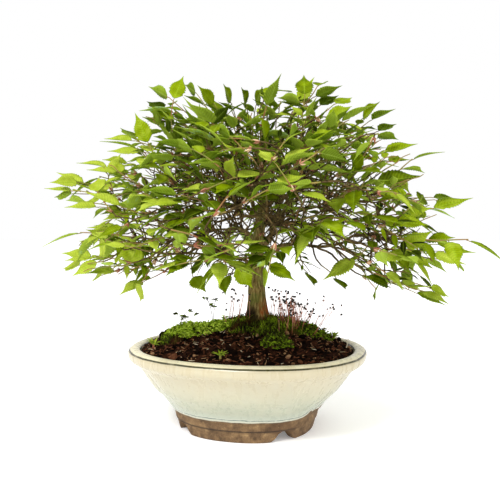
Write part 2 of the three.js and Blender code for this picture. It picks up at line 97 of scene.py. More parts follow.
TRUNK_CURVE = np.array([(13, 0, 92), (14, 0, 150), (4, -3, 210), (24, 2, 276)], float)
TRUNK_FOOT, TRUNK_TOP = TRUNK_CURVE[0][2], TRUNK_CURVE[3][2]
TRUNK_THICK = 13.2
TRUNK_THIN = 4.4
FLARE_RADIUS = 5.4
FLARE_HEIGHT = 112
FLARE_REACH = 21
FLUTE_DEPTH = 0.07

CROWN_MIDDLE = np.array([16.0, 0.0, 226.0])
CROWN_HALF_WIDTH = 260
CROWN_HALF_DEPTH = 218
CROWN_RISE = 196
CROWN_DROP = 72
CROWN_ROUNDNESS = 1.9
SKIRT_ROUNDNESS = 4
OUTER_SHOOTS = 30
INNER_SHOOTS = 7
INNER_SHARE = 0.67
LOWEST_OUTER, LOWEST_INNER = -0.14, 0.05  # the sine of the lowest shoot's rise above the crown's middle

BOUGH_HEIGHTS = [178, 186, 194, 203, 212, 236, 250, 262]
LOW_BOUGHS = 5
LOW_SHARE = 0.6
TWIG_RADIUS = 1.05
FORK_SHARE = 0.47
FORK_STRAY = 12

SHOOT_LENGTH = 66
SHOOT_RISE = 14
SHOOT_STRAY = 0.3
SHOOT_RADIUS = 1.5
STEM_STRAY = 2.4
LEAF_PLACES = 5
LEAF_LENGTH = 40
LEAF_WIDTH = 0.45
LEAF_SPREAD = 50 * DEGREE
LEAF_CLEARANCE = 1.5
LEAF_DROOP = 0.5
LEAF_LEVEL = 0.7
LEAF_FOLD = 0.22
LEAF_ARCH = 0.16
LEAF_TURNS = [0, 0.35, -0.35, 0.7, -0.7]
PLANNED_SEEDS = {"tips": 42, "shoots": 8, "limbs": 13, "leaves": 21}  # as in the CAD model
SEEDS = {"fill": 17, "twigs": 23, "packed": 5, "more": 6, "wood": 9, "crumbs": 12, "creepers": 14, "weeds": 3}

# [node, x, y, half length, half width, thickness, tone, seed stalks]
CUSHIONS = [
    ("moss_round_trunk", 28, -2, 64, 48, 6.5, 0.38, 130),
    ("moss_left", -80, -14, 24, 26, 5.5, 0.42, 0),
    ("moss_front", 34, -70, 15, 9, 4, 0.38, 0),
]
WEEDS = [("weed_front", -28, -92, 10), ("weed_left", -108, -30, 12), ("weed_right", 104, -4, 11)]

# ---------------------------------------------------------------- the camera, as the photo was taken

CAMERA_PLACE = np.array([3.6, -781.0, 243.0])
CAMERA_PITCH = 2.54 * DEGREE  # below level
PITCH_COS, PITCH_SIN = math.cos(CAMERA_PITCH), math.sin(CAMERA_PITCH)
FRAME_PIXELS = 500
FRAME_MIDDLE = FRAME_PIXELS / 2
FOCAL_PIXELS = 653
SENSOR = 36


def place_at(x, y, depth):
    """The point that a pixel of the photo shows in the upright plane at this depth, along +Y."""
    side, rise = (x - FRAME_MIDDLE) / FOCAL_PIXELS, (FRAME_MIDDLE - y) / FOCAL_PIXELS
    ray = np.array([side, PITCH_COS + rise * PITCH_SIN, rise * PITCH_COS - PITCH_SIN])
    return CAMERA_PLACE + ray * (depth - CAMERA_PLACE[1]) / ray[1]


def pixel_of(point):
    """Where the photo shows a point."""
    x, y, z = point - CAMERA_PLACE
    away, rise = y * PITCH_COS - z * PITCH_SIN, z * PITCH_COS + y * PITCH_SIN
    return FRAME_MIDDLE + FOCAL_PIXELS * x / away, FRAME_MIDDLE - FOCAL_PIXELS * rise / away


# ---------------------------------------------------------------- small tools


class Draw:
    """The CAD model's repeatable random draw from 0 to 1."""

    def __init__(self, seed):
        self.state = (seed * 48271 + 11) % 2147483647

    def __call__(self):
        self.state = (self.state * 16807) % 2147483647
        return self.state / 2147483647


def seeded(name):
    return np.random.RandomState(SEEDS[name])


def mix(a, b, share):
    return a + (b - a) * share


def unit(vector):
    return vector / np.linalg.norm(vector)


def square_to(way, vector):
    """The unit vector nearest to this one and square to a unit way."""
    return unit(vector - way * (vector @ way))


def heading(turn, level, rise):
    """The way of a turn about the upright, a reach in the plan and a rise."""
    return np.array([level * math.cos(turn), level * math.sin(turn), rise])


def turned(vector, axis, angle):
    """A vector turned about a unit axis."""
    cos, sin = math.cos(angle), math.sin(angle)
    return vector * cos + np.cross(axis, vector) * sin + axis * (axis @ vector) * (1 - cos)


def smooth_step(low, high, value):
    share = np.clip((value - low) / (high - low), 0, 1)
    return share * share * (3 - 2 * share)


def columns(*values):
    """Rows of numbers, from what stands in each column."""
    return np.stack(np.broadcast_arrays(*values), axis=-1)


def round_turns(count):
    return np.arange(count) * 2 * math.pi / count


def resampled(values, count):
    """This many values, evenly spaced along a row of them."""
    return np.interp(np.linspace(0, 1, count), np.linspace(0, 1, len(values)), values)


def cubic(a, b, c, d, share):
    """The Bezier curve through a and d: a point of it, or rows of points for a column of shares."""
    rest = 1 - share
    return rest**3 * a + 3 * rest**2 * share * b + 3 * rest * share**2 * c + share**3 * d


def curve_through(points, steps):
    """A smooth row of points through the given ones, with this many steps between two of them."""
    p = np.asarray(points, float)
    ends = np.vstack([2 * p[0] - p[1], p, 2 * p[-1] - p[-2]])
    rows = []
    for a, b, c, d in zip(ends, ends[1:], ends[2:], ends[3:]):
        bend, twist = 2 * a - 5 * b + 4 * c - d, 3 * b - a - 3 * c + d
        rows += [b + 0.5 * t * (c - a + t * (bend + t * twist)) for t in np.arange(steps) / steps]
    return np.array(rows + [p[-1]])


def ripples(points, size, seed, count=10):
    """A smooth bumpy value, mostly from -1 to 1, at each point, with bumps about size apart."""
    draw = np.random.RandomState(seed)
    ways = draw.normal(size=(count, 3))
    ways *= (2 * math.pi / size / np.linalg.norm(ways, axis=1) * draw.uniform(0.7, 1.5, count))[:, None]
    return np.sin(points @ ways.T + draw.uniform(0, 6.28, count)).sum(1) / math.sqrt(count)


def wander(path, size, seed, count=10):
    """How far a crooked path strays along the three axes at each point."""
    return columns(*(ripples(path, size, seed + axis, count) for axis in range(3)))


# ---------------------------------------------------------------- the tree's plan, as in the CAD model


def dome_point(sine, turn, share):
    """A place this share of the way from the crown's middle to its surface."""
    way = heading(turn, math.sqrt(1 - sine * sine), sine)
    rise, power = (CROWN_RISE, CROWN_ROUNDNESS) if sine > 0 else (CROWN_DROP, SKIRT_ROUNDNESS)
    sizes = (CROWN_HALF_WIDTH, CROWN_HALF_DEPTH, rise)
    reach = sum((abs(w) / size) ** power for w, size in zip(way, sizes))
    return CROWN_MIDDLE + way * share * reach ** (-1 / power)


def shaken(point, amount, draw):
    """A point moved at random, by up to half this amount each way."""
    return point + np.array([(draw() - 0.5) * amount for _ in range(3)])


class Shoot:
    """A leafy shoot: the way it grows, its stem's points, the first of them its start, and leaves."""

    def __init__(self, way, stem):
        self.way, self.stem, self.start, self.leaves = way, stem, stem[0], []


class Leaf:
    """One blade: where its stalk starts, the way it points, its upper face, its length, its tone, and its
    breadth and curl as shares of the usual."""

    def __init__(self, base, along, normal, length, tone=0.5, breadth=1.0, curl=1.0):
        self.base, self.along, self.normal, self.length = base, along, normal, length
        self.tone, self.breadth, self.curl = tone, breadth, curl


def shoot_tips():
    draw = Draw(PLANNED_SEEDS["tips"])
    for count, share, lowest in [(OUTER_SHOOTS, 1, LOWEST_OUTER), (INNER_SHOOTS, INNER_SHARE, LOWEST_INNER)]:
        for i in range(count):
            sine = mix(0.985, lowest, (i + 0.5) / count)
            turn = i * GOLDEN_TURN + (draw() - 0.5) * 0.3
            yield dome_point(sine, turn, share * (0.94 + 0.06 * draw()))


def plan_shoots():
    """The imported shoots: each one's tip first, then its way, and its stem back from there."""
    draw = Draw(PLANNED_SEEDS["shoots"])
    shoots = []
    for tip in shoot_tips():
        way = unit(shaken(unit(tip - CROWN_MIDDLE + UP * SHOOT_RISE), SHOOT_STRAY, draw))
        step = SHOOT_LENGTH / LEAF_PLACES * (0.85 + 0.3 * draw())
        start = tip - way * (LEAF_LENGTH * 0.8 + step * LEAF_PLACES)
        stem = [start + way * i * step for i in range(LEAF_PLACES + 1)]
        shoots.append(Shoot(way, stem[:2] + [shaken(point, STEM_STRAY, draw) for point in stem[2:]]))
    return shoots


def grow_limb(points, radii, shoots, draw, limbs):
    """A limb that forks until each end carries one shoot."""
    radius = TWIG_RADIUS * math.sqrt(len(shoots))
    if len(shoots) == 1:
        shoot = shoots[0]
        near = shoot.start - shoot.way * min(14, np.linalg.norm(points[-1] - shoot.start) * 0.4)
        limbs.append((points + [near, shoot.start], radii + [radius, radius]))
        return
    starts = np.array([shoot.start for shoot in shoots])
    fork = shaken(mix(points[-1], starts.mean(0), FORK_SHARE), FORK_STRAY, draw)
    axis = int(np.argmax(starts.max(0) - starts.min(0)))
    ordered = sorted(shoots, key=lambda shoot: shoot.start[axis])
    half = math.ceil(len(ordered) / 2)
    grow_limb(points + [fork], radii + [radius], ordered[:half], draw, limbs)
    grow_limb([fork], [radius * 0.6], ordered[half:], draw, limbs)


def trunk_point(height):
    """The trunk's middle at this height, or at its foot below that, found by halving."""
    low, high = 0.0, 1.0
    for _ in range(30):
        half = (low + high) / 2
        if cubic(*TRUNK_CURVE, half)[2] < height:
            low = half
        else:
            high = half
    return cubic(*TRUNK_CURVE, low)


def trunk_radius(height):
    flare = FLARE_RADIUS * math.exp(-(((height - FLARE_HEIGHT) / FLARE_REACH) ** 2))
    share = (height - TRUNK_FOOT) / (TRUNK_TOP - TRUNK_FOOT)
    return flare + mix(TRUNK_THICK, TRUNK_THIN, min(1, max(0, share)))


def plan_limbs(shoots):
    """Boughs at their heights on the trunk, each forking to the shoots on its side."""
    draw = Draw(PLANNED_SEEDS["limbs"])
    groups = [[] for _ in BOUGH_HEIGHTS]
    divide = sorted(shoot.start[2] for shoot in shoots)[math.floor(len(shoots) * LOW_SHARE)]
    for shoot in shoots:
        x, y, _ = shoot.start - TRUNK_CURVE[3]
        turn = math.atan2(y, x) / (2 * math.pi) + 0.5
        is_low = shoot.start[2] < divide
        count = LOW_BOUGHS if is_low else len(BOUGH_HEIGHTS) - LOW_BOUGHS
        index = min(count - 1, math.floor(turn * count))
        groups[index if is_low else LOW_BOUGHS + index].append(shoot)
    limbs = []
    for group, height in zip(groups, BOUGH_HEIGHTS):
        if group:
            origin = trunk_point(height)
            middle = np.mean([shoot.start for shoot in group], axis=0)
            bend = mix(origin, middle, 0.2) + UP * np.linalg.norm(origin - middle) * 0.1
            radius = TWIG_RADIUS * math.sqrt(len(group))
            grow_limb([origin, bend], [radius, radius * 1.1], group, draw, limbs)
    return limbs


class Balls:
    """The balls that limbs, stems and leaves fill, each as its middle and its radius."""

    def __init__(self):
        self.balls, self.owners = [], []

    def add(self, balls, owner):
        self.balls += balls
        self.owners += [owner] * len(balls)

    def add_along(self, points, radius, owner):
        for a, b in zip(points[:-1], points[1:]):
            count = math.ceil(np.linalg.norm(b - a) / 5)
            self.add([(*mix(a, b, k / count), radius) for k in range(count)], owner)

    def are_clear(self, balls, owner):
        others = np.array(self.balls)[[other != owner for other in self.owners]]
        return all(
            (np.linalg.norm(others[:, :3] - ball[:3], axis=1) > others[:, 3] + ball[3] + LEAF_CLEARANCE).all()
            for ball in balls
        )


def balls_of_leaf(leaf):
    half = leaf.length * LEAF_WIDTH / 2
    shares = [(0.22, 0.7), (0.45, 1), (0.7, 0.75), (0.95, 0.25)]
    return [(*(leaf.base + leaf.along * leaf.length * share), half * width) for share, width in shares]


def sideways_of(way, turn):
    sideways = np.cross(way, UP)
    if np.linalg.norm(sideways) < 0.3:
        sideways = np.array([1, 0.3, 0])
    return turned(unit(sideways), way, turn)


def plan_leaves(shoot, owner, taken, draw):
    """Leaves in two ranks, each turned until it is clear of what stands there."""
    sideways = sideways_of(shoot.way, (draw() - 0.5) * 1.1)
    face = unit(np.cross(sideways, shoot.way))
    side = -1 if draw() < 0.5 else 1
    for place in range(1, LEAF_PLACES + 1):
        side = -side
        length = LEAF_LENGTH * (0.8 + 0.12 * min(place, 3)) * (0.85 + 0.25 * draw())
        tilt = (draw() - 0.5) * 0.6
        droop = LEAF_DROOP * (0.5 + draw())
        is_last = place == LEAF_PLACES
        spread = (0.18 if is_last else 1) * LEAF_SPREAD * side * (0.85 + 0.3 * draw())
        base = mix(shoot.stem[place - 1], shoot.stem[place], 0.85 if is_last else 0.6)
        normal = mix(turned(face, shoot.way, tilt), UP, LEAF_LEVEL)
        for turn in LEAF_TURNS:
            along = unit(shoot.way * math.cos(spread) + sideways * math.sin(spread) - UP * droop)
            along = unit(turned(along, sideways, turn))
            leaf = Leaf(base, along, square_to(along, normal), length)
            balls = balls_of_leaf(leaf)
            if taken.are_clear(balls, owner):
                shoot.leaves.append(leaf)
                taken.add(balls, owner)
                break


def plan_tree():
    shoots = plan_shoots()
    limbs = plan_limbs(shoots)
    draw = Draw(PLANNED_SEEDS["leaves"])
    taken = Balls()
    for points, radii in limbs:
        taken.add_along(points, radii[1], None)
    for i, shoot in enumerate(shoots):
        taken.add_along(shoot.stem, SHOOT_RADIUS, i)
    for i, shoot in enumerate(shoots):
        plan_leaves(shoot, i, taken, draw)
    return shoots, limbs


# ---------------------------------------------------------------- the rest of the crown

FILL_SHOOTS = 360
FILL_LOWEST = -0.3  # the sine of the lowest one's rise above the crown's middle
FILL_LENGTH = (26, 58)
FILL_LEAF = (24, 38)
# Leaf tones of the fill at the crown's surface and deep in it: the darker inner tone is painted shade.
OUTER_TONE, INNER_PAINTED_SHADE_TONE = 0.56, 0.14
CORE_RADIUS, CORE_TOP = 22, 270  # no such shoot starts this near the trunk below this height
BARE_TWIGS = 250
LIMB_STEPS = 7  # points of a limb between two forks
BACK_THINNING = 0.68  # the share of shoots left out in the crown's back half
THINNING = 0.78  # the share of shoots left out low in the crown's middle
THIN_HEIGHT = 285
THIN_WIDTH = 125
PALEST = 0.82  # the palest tone of a leaf in the fill
LEFT_PAINTED_LIGHT = 0.42  # painted light: how much paler the leaves are painted towards the crown's left end
PAINTED_LIGHT_START = -50
PAINTED_LIGHT_END = -190
# the palest tone that the painted light gives a leaf
PALEST_PAINTED_LIGHT = 0.85
STEM_LENGTH = 34  # of the short stem behind a leaf that stands out
TRUE_LEAF = 37  # the least length of a leaf whose whole length shows, in millimetres
FRONT_SHARE = 0.88  # of the way from the crown's middle to its front

# The crown's edge in the photo, without its outermost leaves, as pixels.
CROWN_EDGE = [
    (122, 140), (130, 128), (150, 104), (165, 100), (185, 96), (200, 100), (213, 102), (225, 95), (240, 98),
    (262, 92), (275, 95), (290, 100), (303, 95), (318, 92), (330, 98), (345, 104), (360, 115), (375, 125),
    (385, 135), (392, 150), (402, 162), (400, 178), (410, 190), (415, 200), (430, 205), (433, 218),
    (440, 228), (440, 245), (445, 256), (430, 266), (428, 285), (440, 297), (415, 293), (390, 290),
    (370, 286), (350, 275), (330, 270), (310, 278), (290, 270), (270, 270), (245, 275), (225, 280),
    (205, 280), (190, 275), (170, 270), (150, 275), (140, 285), (128, 285), (118, 272), (100, 268),
    (85, 265), (75, 260), (88, 250), (85, 240), (95, 228), (90, 218), (95, 205), (85, 200), (70, 195),
    (62, 188), (78, 180), (90, 172), (100, 168), (108, 158), (110, 148),
]

# The leaves at the crown's edge in the photo: tip and base as pixels, apparent breadth in pixels, tone,
# and depth behind the pot's middle in millimetres.
EDGE_LEAVES = [
    (148, 85, 170, 99, 8, 0.5, 20), (183, 73, 174, 102, 15, 0.6, -20), (185, 82, 197, 95, 7, 0.4, 30),
    (200, 88, 214, 103, 12, 0.7, -10), (225, 87, 231, 101, 8, 0.6, 20), (242, 90, 246, 103, 7, 0.4, -30),
    (260, 90, 256, 103, 8, 0.5, 30), (149, 104, 163, 107, 5, 0.15, 30), (149, 106, 176, 119, 9, 0.6, -20),
    (135, 112, 149, 145, 16, 0.55, -50), (143, 117, 166, 126, 6, 0.5, 30), (124, 130, 133, 137, 6, 0.4, 40),
    (103, 138, 135, 141, 7, 0.6, 10), (107, 150, 143, 152, 8, 0.7, -20), (104, 159, 128, 163, 7, 0.5, 30),
    (77, 161, 109, 167, 5, 0.9, 20), (88, 170, 118, 172, 7, 0.6, -30), (56, 172, 86, 185, 7, 0.6, 10),
    (53, 183, 77, 182, 11, 0.9, -10), (43, 187, 74, 191, 4, 0.6, -10), (95, 175, 101, 193, 17, 0.5, -60),
    (58, 197, 69, 193, 6, 0.6, 10), (64, 200, 90, 203, 7, 0.7, 10), (64, 205, 99, 207, 7, 0.8, -20),
    (102, 214, 122, 210, 7, 0.5, 30), (105, 218, 128, 213, 8, 0.8, -40), (87, 227, 119, 228, 6, 0.9, -20),
    (77, 241, 102, 240, 8, 0.6, 10), (91, 229, 112, 239, 13, 0.95, -50), (61, 251, 94, 257, 8, 0.7, 0),
    (64, 259, 93, 257, 7, 0.6, 30), (59, 268, 84, 264, 8, 0.8, -20), (72, 276, 99, 261, 11, 0.95, -40),
    (90, 279, 105, 274, 8, 0.7, 10), (87, 271, 116, 271, 8, 0.8, -30), (112, 240, 145, 261, 20, 0.7, -110),
    (138, 303, 143, 282, 10, 0.95, -70), (121, 293, 143, 282, 9, 0.8, -40),
    (123, 205, 139, 201, 14, 0.95, -110), (206, 290, 191, 277, 15, 0.75, -120),
    (225, 293, 226, 276, 13, 0.7, -110), (253, 290, 235, 264, 17, 0.75, -90),
    (295, 280, 266, 264, 13, 0.7, -70), (313, 284, 309, 274, 8, 0.6, -60),
    (322, 279, 358, 258, 12, 0.95, -110), (344, 288, 338, 279, 8, 0.6, -80),
    (377, 298, 373, 287, 8, 0.7, -60), (304, 72, 304, 98, 17, 0.5, -20), (273, 81, 268, 98, 12, 0.7, 0),
    (262, 89, 266, 101, 8, 0.5, 20), (293, 89, 277, 93, 5, 0.6, 20), (327, 78, 316, 89, 9, 0.6, 20),
    (341, 86, 314, 96, 8, 0.6, -20), (337, 97, 320, 104, 8, 0.3, 30), (355, 95, 333, 106, 9, 0.7, -10),
    (348, 107, 326, 118, 13, 0.75, -70), (279, 95, 301, 104, 8, 0.8, -50), (376, 104, 364, 117, 8, 0.6, 20),
    (393, 109, 372, 119, 6, 0.6, 10), (394, 125, 379, 130, 7, 0.5, 20), (400, 138, 375, 135, 7, 0.6, -10),
    (418, 143, 382, 153, 9, 0.7, 0), (412, 158, 385, 162, 7, 0.6, 20), (422, 175, 373, 183, 14, 0.35, -40),
    (428, 192, 416, 203, 15, 0.4, -20), (473, 197, 430, 209, 8, 0.75, 10),
    (430, 209, 405, 213, 12, 0.8, -30), (460, 201, 433, 200, 5, 0.6, 30), (455, 199, 434, 197, 5, 0.5, 50),
    (430, 225, 391, 221, 13, 0.7, -60), (429, 231, 405, 247, 17, 0.8, -110),
    (451, 238, 429, 240, 9, 0.7, 0), (459, 246, 434, 244, 8, 0.6, 20), (477, 250, 441, 251, 4, 0.7, 10),
    (466, 264, 430, 254, 9, 0.95, -30), (464, 268, 455, 262, 6, 0.8, 0), (430, 266, 411, 258, 9, 0.8, -60),
    (452, 297, 427, 287, 8, 0.8, -40), (447, 301, 423, 292, 7, 0.9, -60), (447, 304, 414, 292, 6, 0.7, -30),
    (424, 290, 398, 281, 9, 0.85, -80), (408, 290, 388, 275, 9, 0.8, -90),
]

# The leaves that stand out in front: tip and base as pixels, apparent breadth in pixels, and tone. The
# underside shows where the breadth is negative.
FRONT_LEAVES = [
    (259, 148, 275, 165, 14, 1.0), (310, 147, 279, 163, 9, 0.95), (321, 150, 277, 167, 4, 0.9),
    (232, 159, 229, 177, 13, 0.95), (268, 171, 235, 178, 9, 0.9), (306, 173, 275, 186, 11, 0.9),
    (288, 190, 311, 182, -5, 1.0), (253, 196, 283, 188, 6, 0.5), (330, 201, 301, 191, 7, 0.9),
    (214, 192, 234, 184, 9, 0.65), (201, 190, 185, 187, 9, 0.95), (150, 205, 184, 201, 8, 0.85),
    (183, 218, 203, 210, 10, 0.05), (164, 227, 192, 219, 5, 0.5), (150, 234, 161, 227, 6, 1.0),
    (201, 227, 160, 238, 6, 0.95), (228, 246, 205, 239, 4, 0.8), (265, 241, 233, 243, 3, 1.0),
    (242, 251, 272, 249, 8, 0.4), (245, 263, 269, 257, 7, 0.35), (215, 256, 236, 259, 4, 0.6),
    (263, 287, 268, 270, 6, 0.75), (295, 278, 270, 267, 6, 0.6), (167, 273, 187, 262, 11, 0.55),
    (187, 271, 206, 260, 11, 0.2), (150, 269, 178, 264, 3, 1.0), (309, 238, 316, 229, 7, 0.4),
    (352, 170, 362, 156, 13, 0.5), (368, 192, 384, 187, 7, 0.95), (377, 199, 407, 194, 8, 0.6),
    (412, 202, 397, 195, 6, 0.45), (398, 223, 378, 215, 8, 0.55), (366, 229, 349, 221, 7, 0.5),
    (375, 262, 417, 252, 9, 0.85), (422, 264, 400, 256, -7, 0.9), (361, 273, 392, 288, 9, 0.45),
    (138, 167, 157, 154, -5, 1.0), (152, 140, 190, 147, 6, 0.55), (211, 145, 230, 140, 7, 0.8),
    (179, 181, 161, 168, -6, 1.0), (142, 188, 180, 195, 8, 0.6), (142, 200, 175, 204, 7, 0.9),
    (85, 191, 123, 207, 7, 0.85), (123, 203, 142, 201, -14, 1.0), (165, 225, 188, 219, 5, 0.5),
    (95, 258, 109, 240, 13, 0.95), (91, 231, 110, 239, 7, 0.85), (330, 130, 308, 142, 9, 0.75),
    (215, 125, 232, 139, 8, 0.6), (262, 118, 266, 139, 9, 0.6), (172, 140, 194, 151, 7, 0.7),
    (340, 143, 322, 150, 8, 0.8), (300, 125, 288, 138, 8, 0.5), (245, 130, 255, 146, 7, 0.4),
    (190, 118, 207, 130, 9, 0.65), (150, 153, 172, 160, 7, 0.7), (372, 150, 352, 146, 7, 0.5),
    (381, 172, 360, 170, 6, 0.6), (205, 160, 222, 152, 6, 0.5), (246, 181, 232, 192, 8, 0.8),
]


class Wood:
    """The points of the trunk and limbs, to which twigs are joined."""

    def __init__(self, limbs):
        heights = np.linspace(185, TRUNK_TOP, 24)
        points = [[trunk_point(height) for height in heights]]
        radii = [[trunk_radius(height) for height in heights]]
        for row, sizes in limbs:
            points.append(curve_through(row, LIMB_STEPS))
            radii.append(resampled(sizes, len(points[-1])))
        self.points, self.radii = np.vstack(points), np.concatenate(radii)

    def nearest(self, place, way):
        """The wood that a twig to this place, arriving this way, comes from."""
        gap = self.points - place
        distance = np.linalg.norm(gap, axis=1)
        behind = gap @ way / np.maximum(distance, 1e-6)
        best = int(np.argmin(distance * (1.6 + behind) + np.where(distance < 12, 30, 0)))
        return self.points[best], self.radii[best]


def plan_twig(wood, place, way, draw):
    """A crooked twig from the nearest wood to a place, arriving this way."""
    start, size = wood.nearest(place, way)
    reach = np.linalg.norm(place - start)
    leave = unit(place - start + UP * 0.25 * reach)
    t = np.linspace(0, 1, max(6, int(reach / 8)))[:, None]
    path = cubic(start, start + leave * reach * 0.35, place - way * reach * 0.3, place, t)
    path = path + wander(path, 24, draw.randint(1, 10**6), 5) * np.sin(math.pi * t) * 1.7
    return path, np.linspace(min(size * 0.8, 0.9 + reach * 0.008), 0.75, len(path))


def is_inside(point):
    """Whether the photo shows a point inside the crown's edge."""
    x, y = pixel_of(point)
    inside = False
    for (ax, ay), (bx, by) in zip(CROWN_EDGE, CROWN_EDGE[1:] + CROWN_EDGE[:1]):
        if (ay > y) != (by > y) and x < ax + (y - ay) * (bx - ax) / (by - ay):
            inside = not inside
    return inside


def leaf_shows_inside(leaf):
    tip = leaf.base + leaf.along * leaf.length - leaf.normal * leaf.length * LEAF_ARCH
    return is_inside(tip) and is_inside(mix(leaf.base, tip, 0.5))


def leafy_stem(start, way, length, places, draw, tone, small):
    """A stem with leaves in two ranks and one at its end. They lie fairly level, and are smaller and
    narrower as small goes from 0 to 1."""
    droop = draw.uniform(-0.02, 0.16) * length
    stem = [
        start + way * length * share - UP * droop * share * share + draw.normal(0, 0.7, 3) * (share > 0)
        for share in np.linspace(0, 1, places + 1)
    ]
    shoot = Shoot(way, stem)
    sideways = sideways_of(way, draw.uniform(-0.7, 0.7))
    face = unit(np.cross(sideways, way))
    face = face if face[2] > 0 else -face
    side = draw.choice([-1, 1])
    for place in range(1, places + 1):
        side = -side
        is_last = place == places
        size = draw.uniform(*FILL_LEAF) * (0.78 + 0.22 * min(1, place / 3)) * mix(1, 0.52, small)
        spread = side * (draw.uniform(0.05, 0.3) if is_last else draw.uniform(0.65, 1.05))
        along = way * math.cos(spread) + sideways * math.sin(spread) - UP * draw.uniform(-0.15, 0.4)
        along = unit(along)
        normal = square_to(along, mix(turned(face, way, draw.normal(0, 0.5)), UP, 0.75))
        base = mix(stem[place - 1], stem[place], 0.9 if is_last else 0.6)
        breadth = draw.uniform(0.52, 0.9) * mix(1, 0.85, small)
        shade = min(PALEST, tone + draw.uniform(-0.5, 0.5))
        shoot.leaves.append(Leaf(base, along, normal, size, shade, breadth))
    return shoot


def plan_fill():
    """Shoots all through the crown, closest near its surface."""
    draw = seeded("fill")
    fill = []
    for i in range(FILL_SHOOTS):
        sine = min(0.99, mix(0.99, FILL_LOWEST, ((i + 0.5) / FILL_SHOOTS) ** 1.2) + draw.uniform(-0.03, 0.03))
        turn = i * GOLDEN_TURN + draw.uniform(-0.3, 0.3)
        share = draw.uniform(0.42, 0.99) ** 0.6
        tip = dome_point(sine, turn, share)
        way = unit(unit(tip - CROWN_MIDDLE + UP * 8) + draw.normal(0, 0.28, 3))
        length = draw.uniform(*FILL_LENGTH)
        start = tip - way * (length + FILL_LEAF[0])
        is_low, is_middle = tip[2] < THIN_HEIGHT, abs(tip[0] - CROWN_MIDDLE[0]) < THIN_WIDTH
        if np.hypot(*(start - CROWN_MIDDLE)[:2]) < CORE_RADIUS and start[2] < CORE_TOP:
            continue
        if tip[1] > 0 and is_low and draw.uniform() < BACK_THINNING:
            continue
        if draw.uniform() < THINNING and is_low and is_middle:
            continue
        # Deeper shoots get smaller leaves, painted darker as painted shade inside the crown.
        small = float(smooth_step(0.95, 0.75, share))
        places = int(length / mix(8.5, 6.5, small)) + 1
        shoot = leafy_stem(start, way, length, places, draw, mix(OUTER_TONE, INNER_PAINTED_SHADE_TONE, small), small)
        shoot.leaves = [leaf for leaf in shoot.leaves if leaf_shows_inside(leaf)]
        if shoot.leaves:
            fill.append(shoot)
    return fill


def front_depth(x, y):
    """The depth of the crown's front at a pixel."""
    across, _, rise = place_at(x, y, 0) - CROWN_MIDDLE
    across, rise = across / CROWN_HALF_WIDTH, rise / (CROWN_RISE if rise > 0 else 1.4 * CROWN_DROP)
    return -FRONT_SHARE * CROWN_HALF_DEPTH * math.sqrt(max(0.02, 1 - across**2 - rise**2))


def plan_seen(draw):
    """The leaves that stand out in the photo, each at the end of a short stem of its own."""
    seen = []
    in_front = [(*row, front_depth(row[2], row[3])) for row in FRONT_LEAVES]
    for tip_x, tip_y, base_x, base_y, breadth, tone, depth in EDGE_LEAVES + in_front:
        tip, base = place_at(tip_x, tip_y, depth), place_at(base_x, base_y, depth)
        shown = np.linalg.norm(tip - base)
        length = max(shown, TRUE_LEAF * draw.uniform(0.92, 1.08))
        lean = math.sqrt(max(length**2 - shown**2, 0)) * (-1 if draw.uniform() < 0.6 else 1)
        along = unit(tip - base + np.array([0, lean, 0]))
        base = base - np.array([0, lean / 2, 0])
        width = abs(breadth) * np.linalg.norm(tip - CAMERA_PLACE) / FOCAL_PIXELS
        fullest = length * LEAF_WIDTH
        roll = math.acos(min(1, width / fullest))
        facing = square_to(along, np.array([0, -1.0, 0]))
        edge = np.cross(along, facing) * math.sin(roll)
        top_shows = breadth > 0 and draw.uniform() < (1 if breadth > 8 or base_y > 205 else 0.6)
        facing = facing * math.cos(roll) * (1 if top_shows else -1)
        normal = max(facing - edge, facing + edge, key=lambda vector: vector[2])
        inward = unit(unit(CROWN_MIDDLE - base) * 0.5 - along)
        if not is_inside(base + inward * STEM_LENGTH):
            inward = unit(CROWN_MIDDLE - base)
        reaches = (STEM_LENGTH, STEM_LENGTH / 2, 0)
        stem = [base + inward * reach + draw.normal(0, 0.6, 3) * (reach > 0) for reach in reaches]
        shoot = Shoot(-inward, stem)
        shoot.leaves.append(Leaf(base, along, normal, length, 0.85 * tone, max(1, width / fullest), 0.3))
        for place, side in ((0, -1), (1, 1)):
            sideways = sideways_of(shoot.way, draw.uniform(-0.6, 0.6)) * side
            away = unit(shoot.way + sideways * draw.uniform(0.6, 1.2) - UP * draw.uniform(0, 0.3))
            face = square_to(away, unit(UP + draw.normal(0, 0.3, 3)))
            start, size = mix(stem[place], stem[place + 1], 0.4), draw.uniform(20, 30)
            extra = Leaf(start, away, face, size, draw.uniform(0.2, 0.9))
            if leaf_shows_inside(extra):
                shoot.leaves.append(extra)
        seen.append(shoot)
    return seen


def plan_bare_twigs(wood, draw):
    """Fine dead and leafless twigs among the boughs."""
    twigs = []
    t = np.linspace(0, 1, 8)[:, None]
    for _ in range(BARE_TWIGS):
        start = wood.points[draw.randint(0, len(wood.points))]
        outward = unit(start - CROWN_MIDDLE + UP * 12)
        way = unit(outward * 0.6 + draw.normal(0, 0.6, 3) * (1, 1, 0.6))
        length = draw.uniform(18, 70)
        path = start + way * length * t
        path = path + wander(path, 20, draw.randint(1, 10**6), 5) * t * 4
        if not is_inside(path[-1]):
            continue
        twigs.append((path, np.linspace(1.1, 0.4, 8)))
        for joint in (3, 5):
            side = unit(np.cross(way, draw.normal(size=3)))
            fork = path[joint] + (way * 0.5 + side * 0.8) * length * draw.uniform(0.25, 0.5) * t[:6] / t[5]
            fork = fork + draw.normal(0, 0.7, (6, 3)) * (t[:6] > 0)
            twigs.append((fork, np.linspace(0.65, 0.3, 6)))
    return twigs


# ---------------------------------------------------------------- mesh making


def add_object(name, data):
    """A new object in the scene."""
    thing = bpy.data.objects.new(name, data)
    bpy.context.scene.collection.objects.link(thing)
    return thing


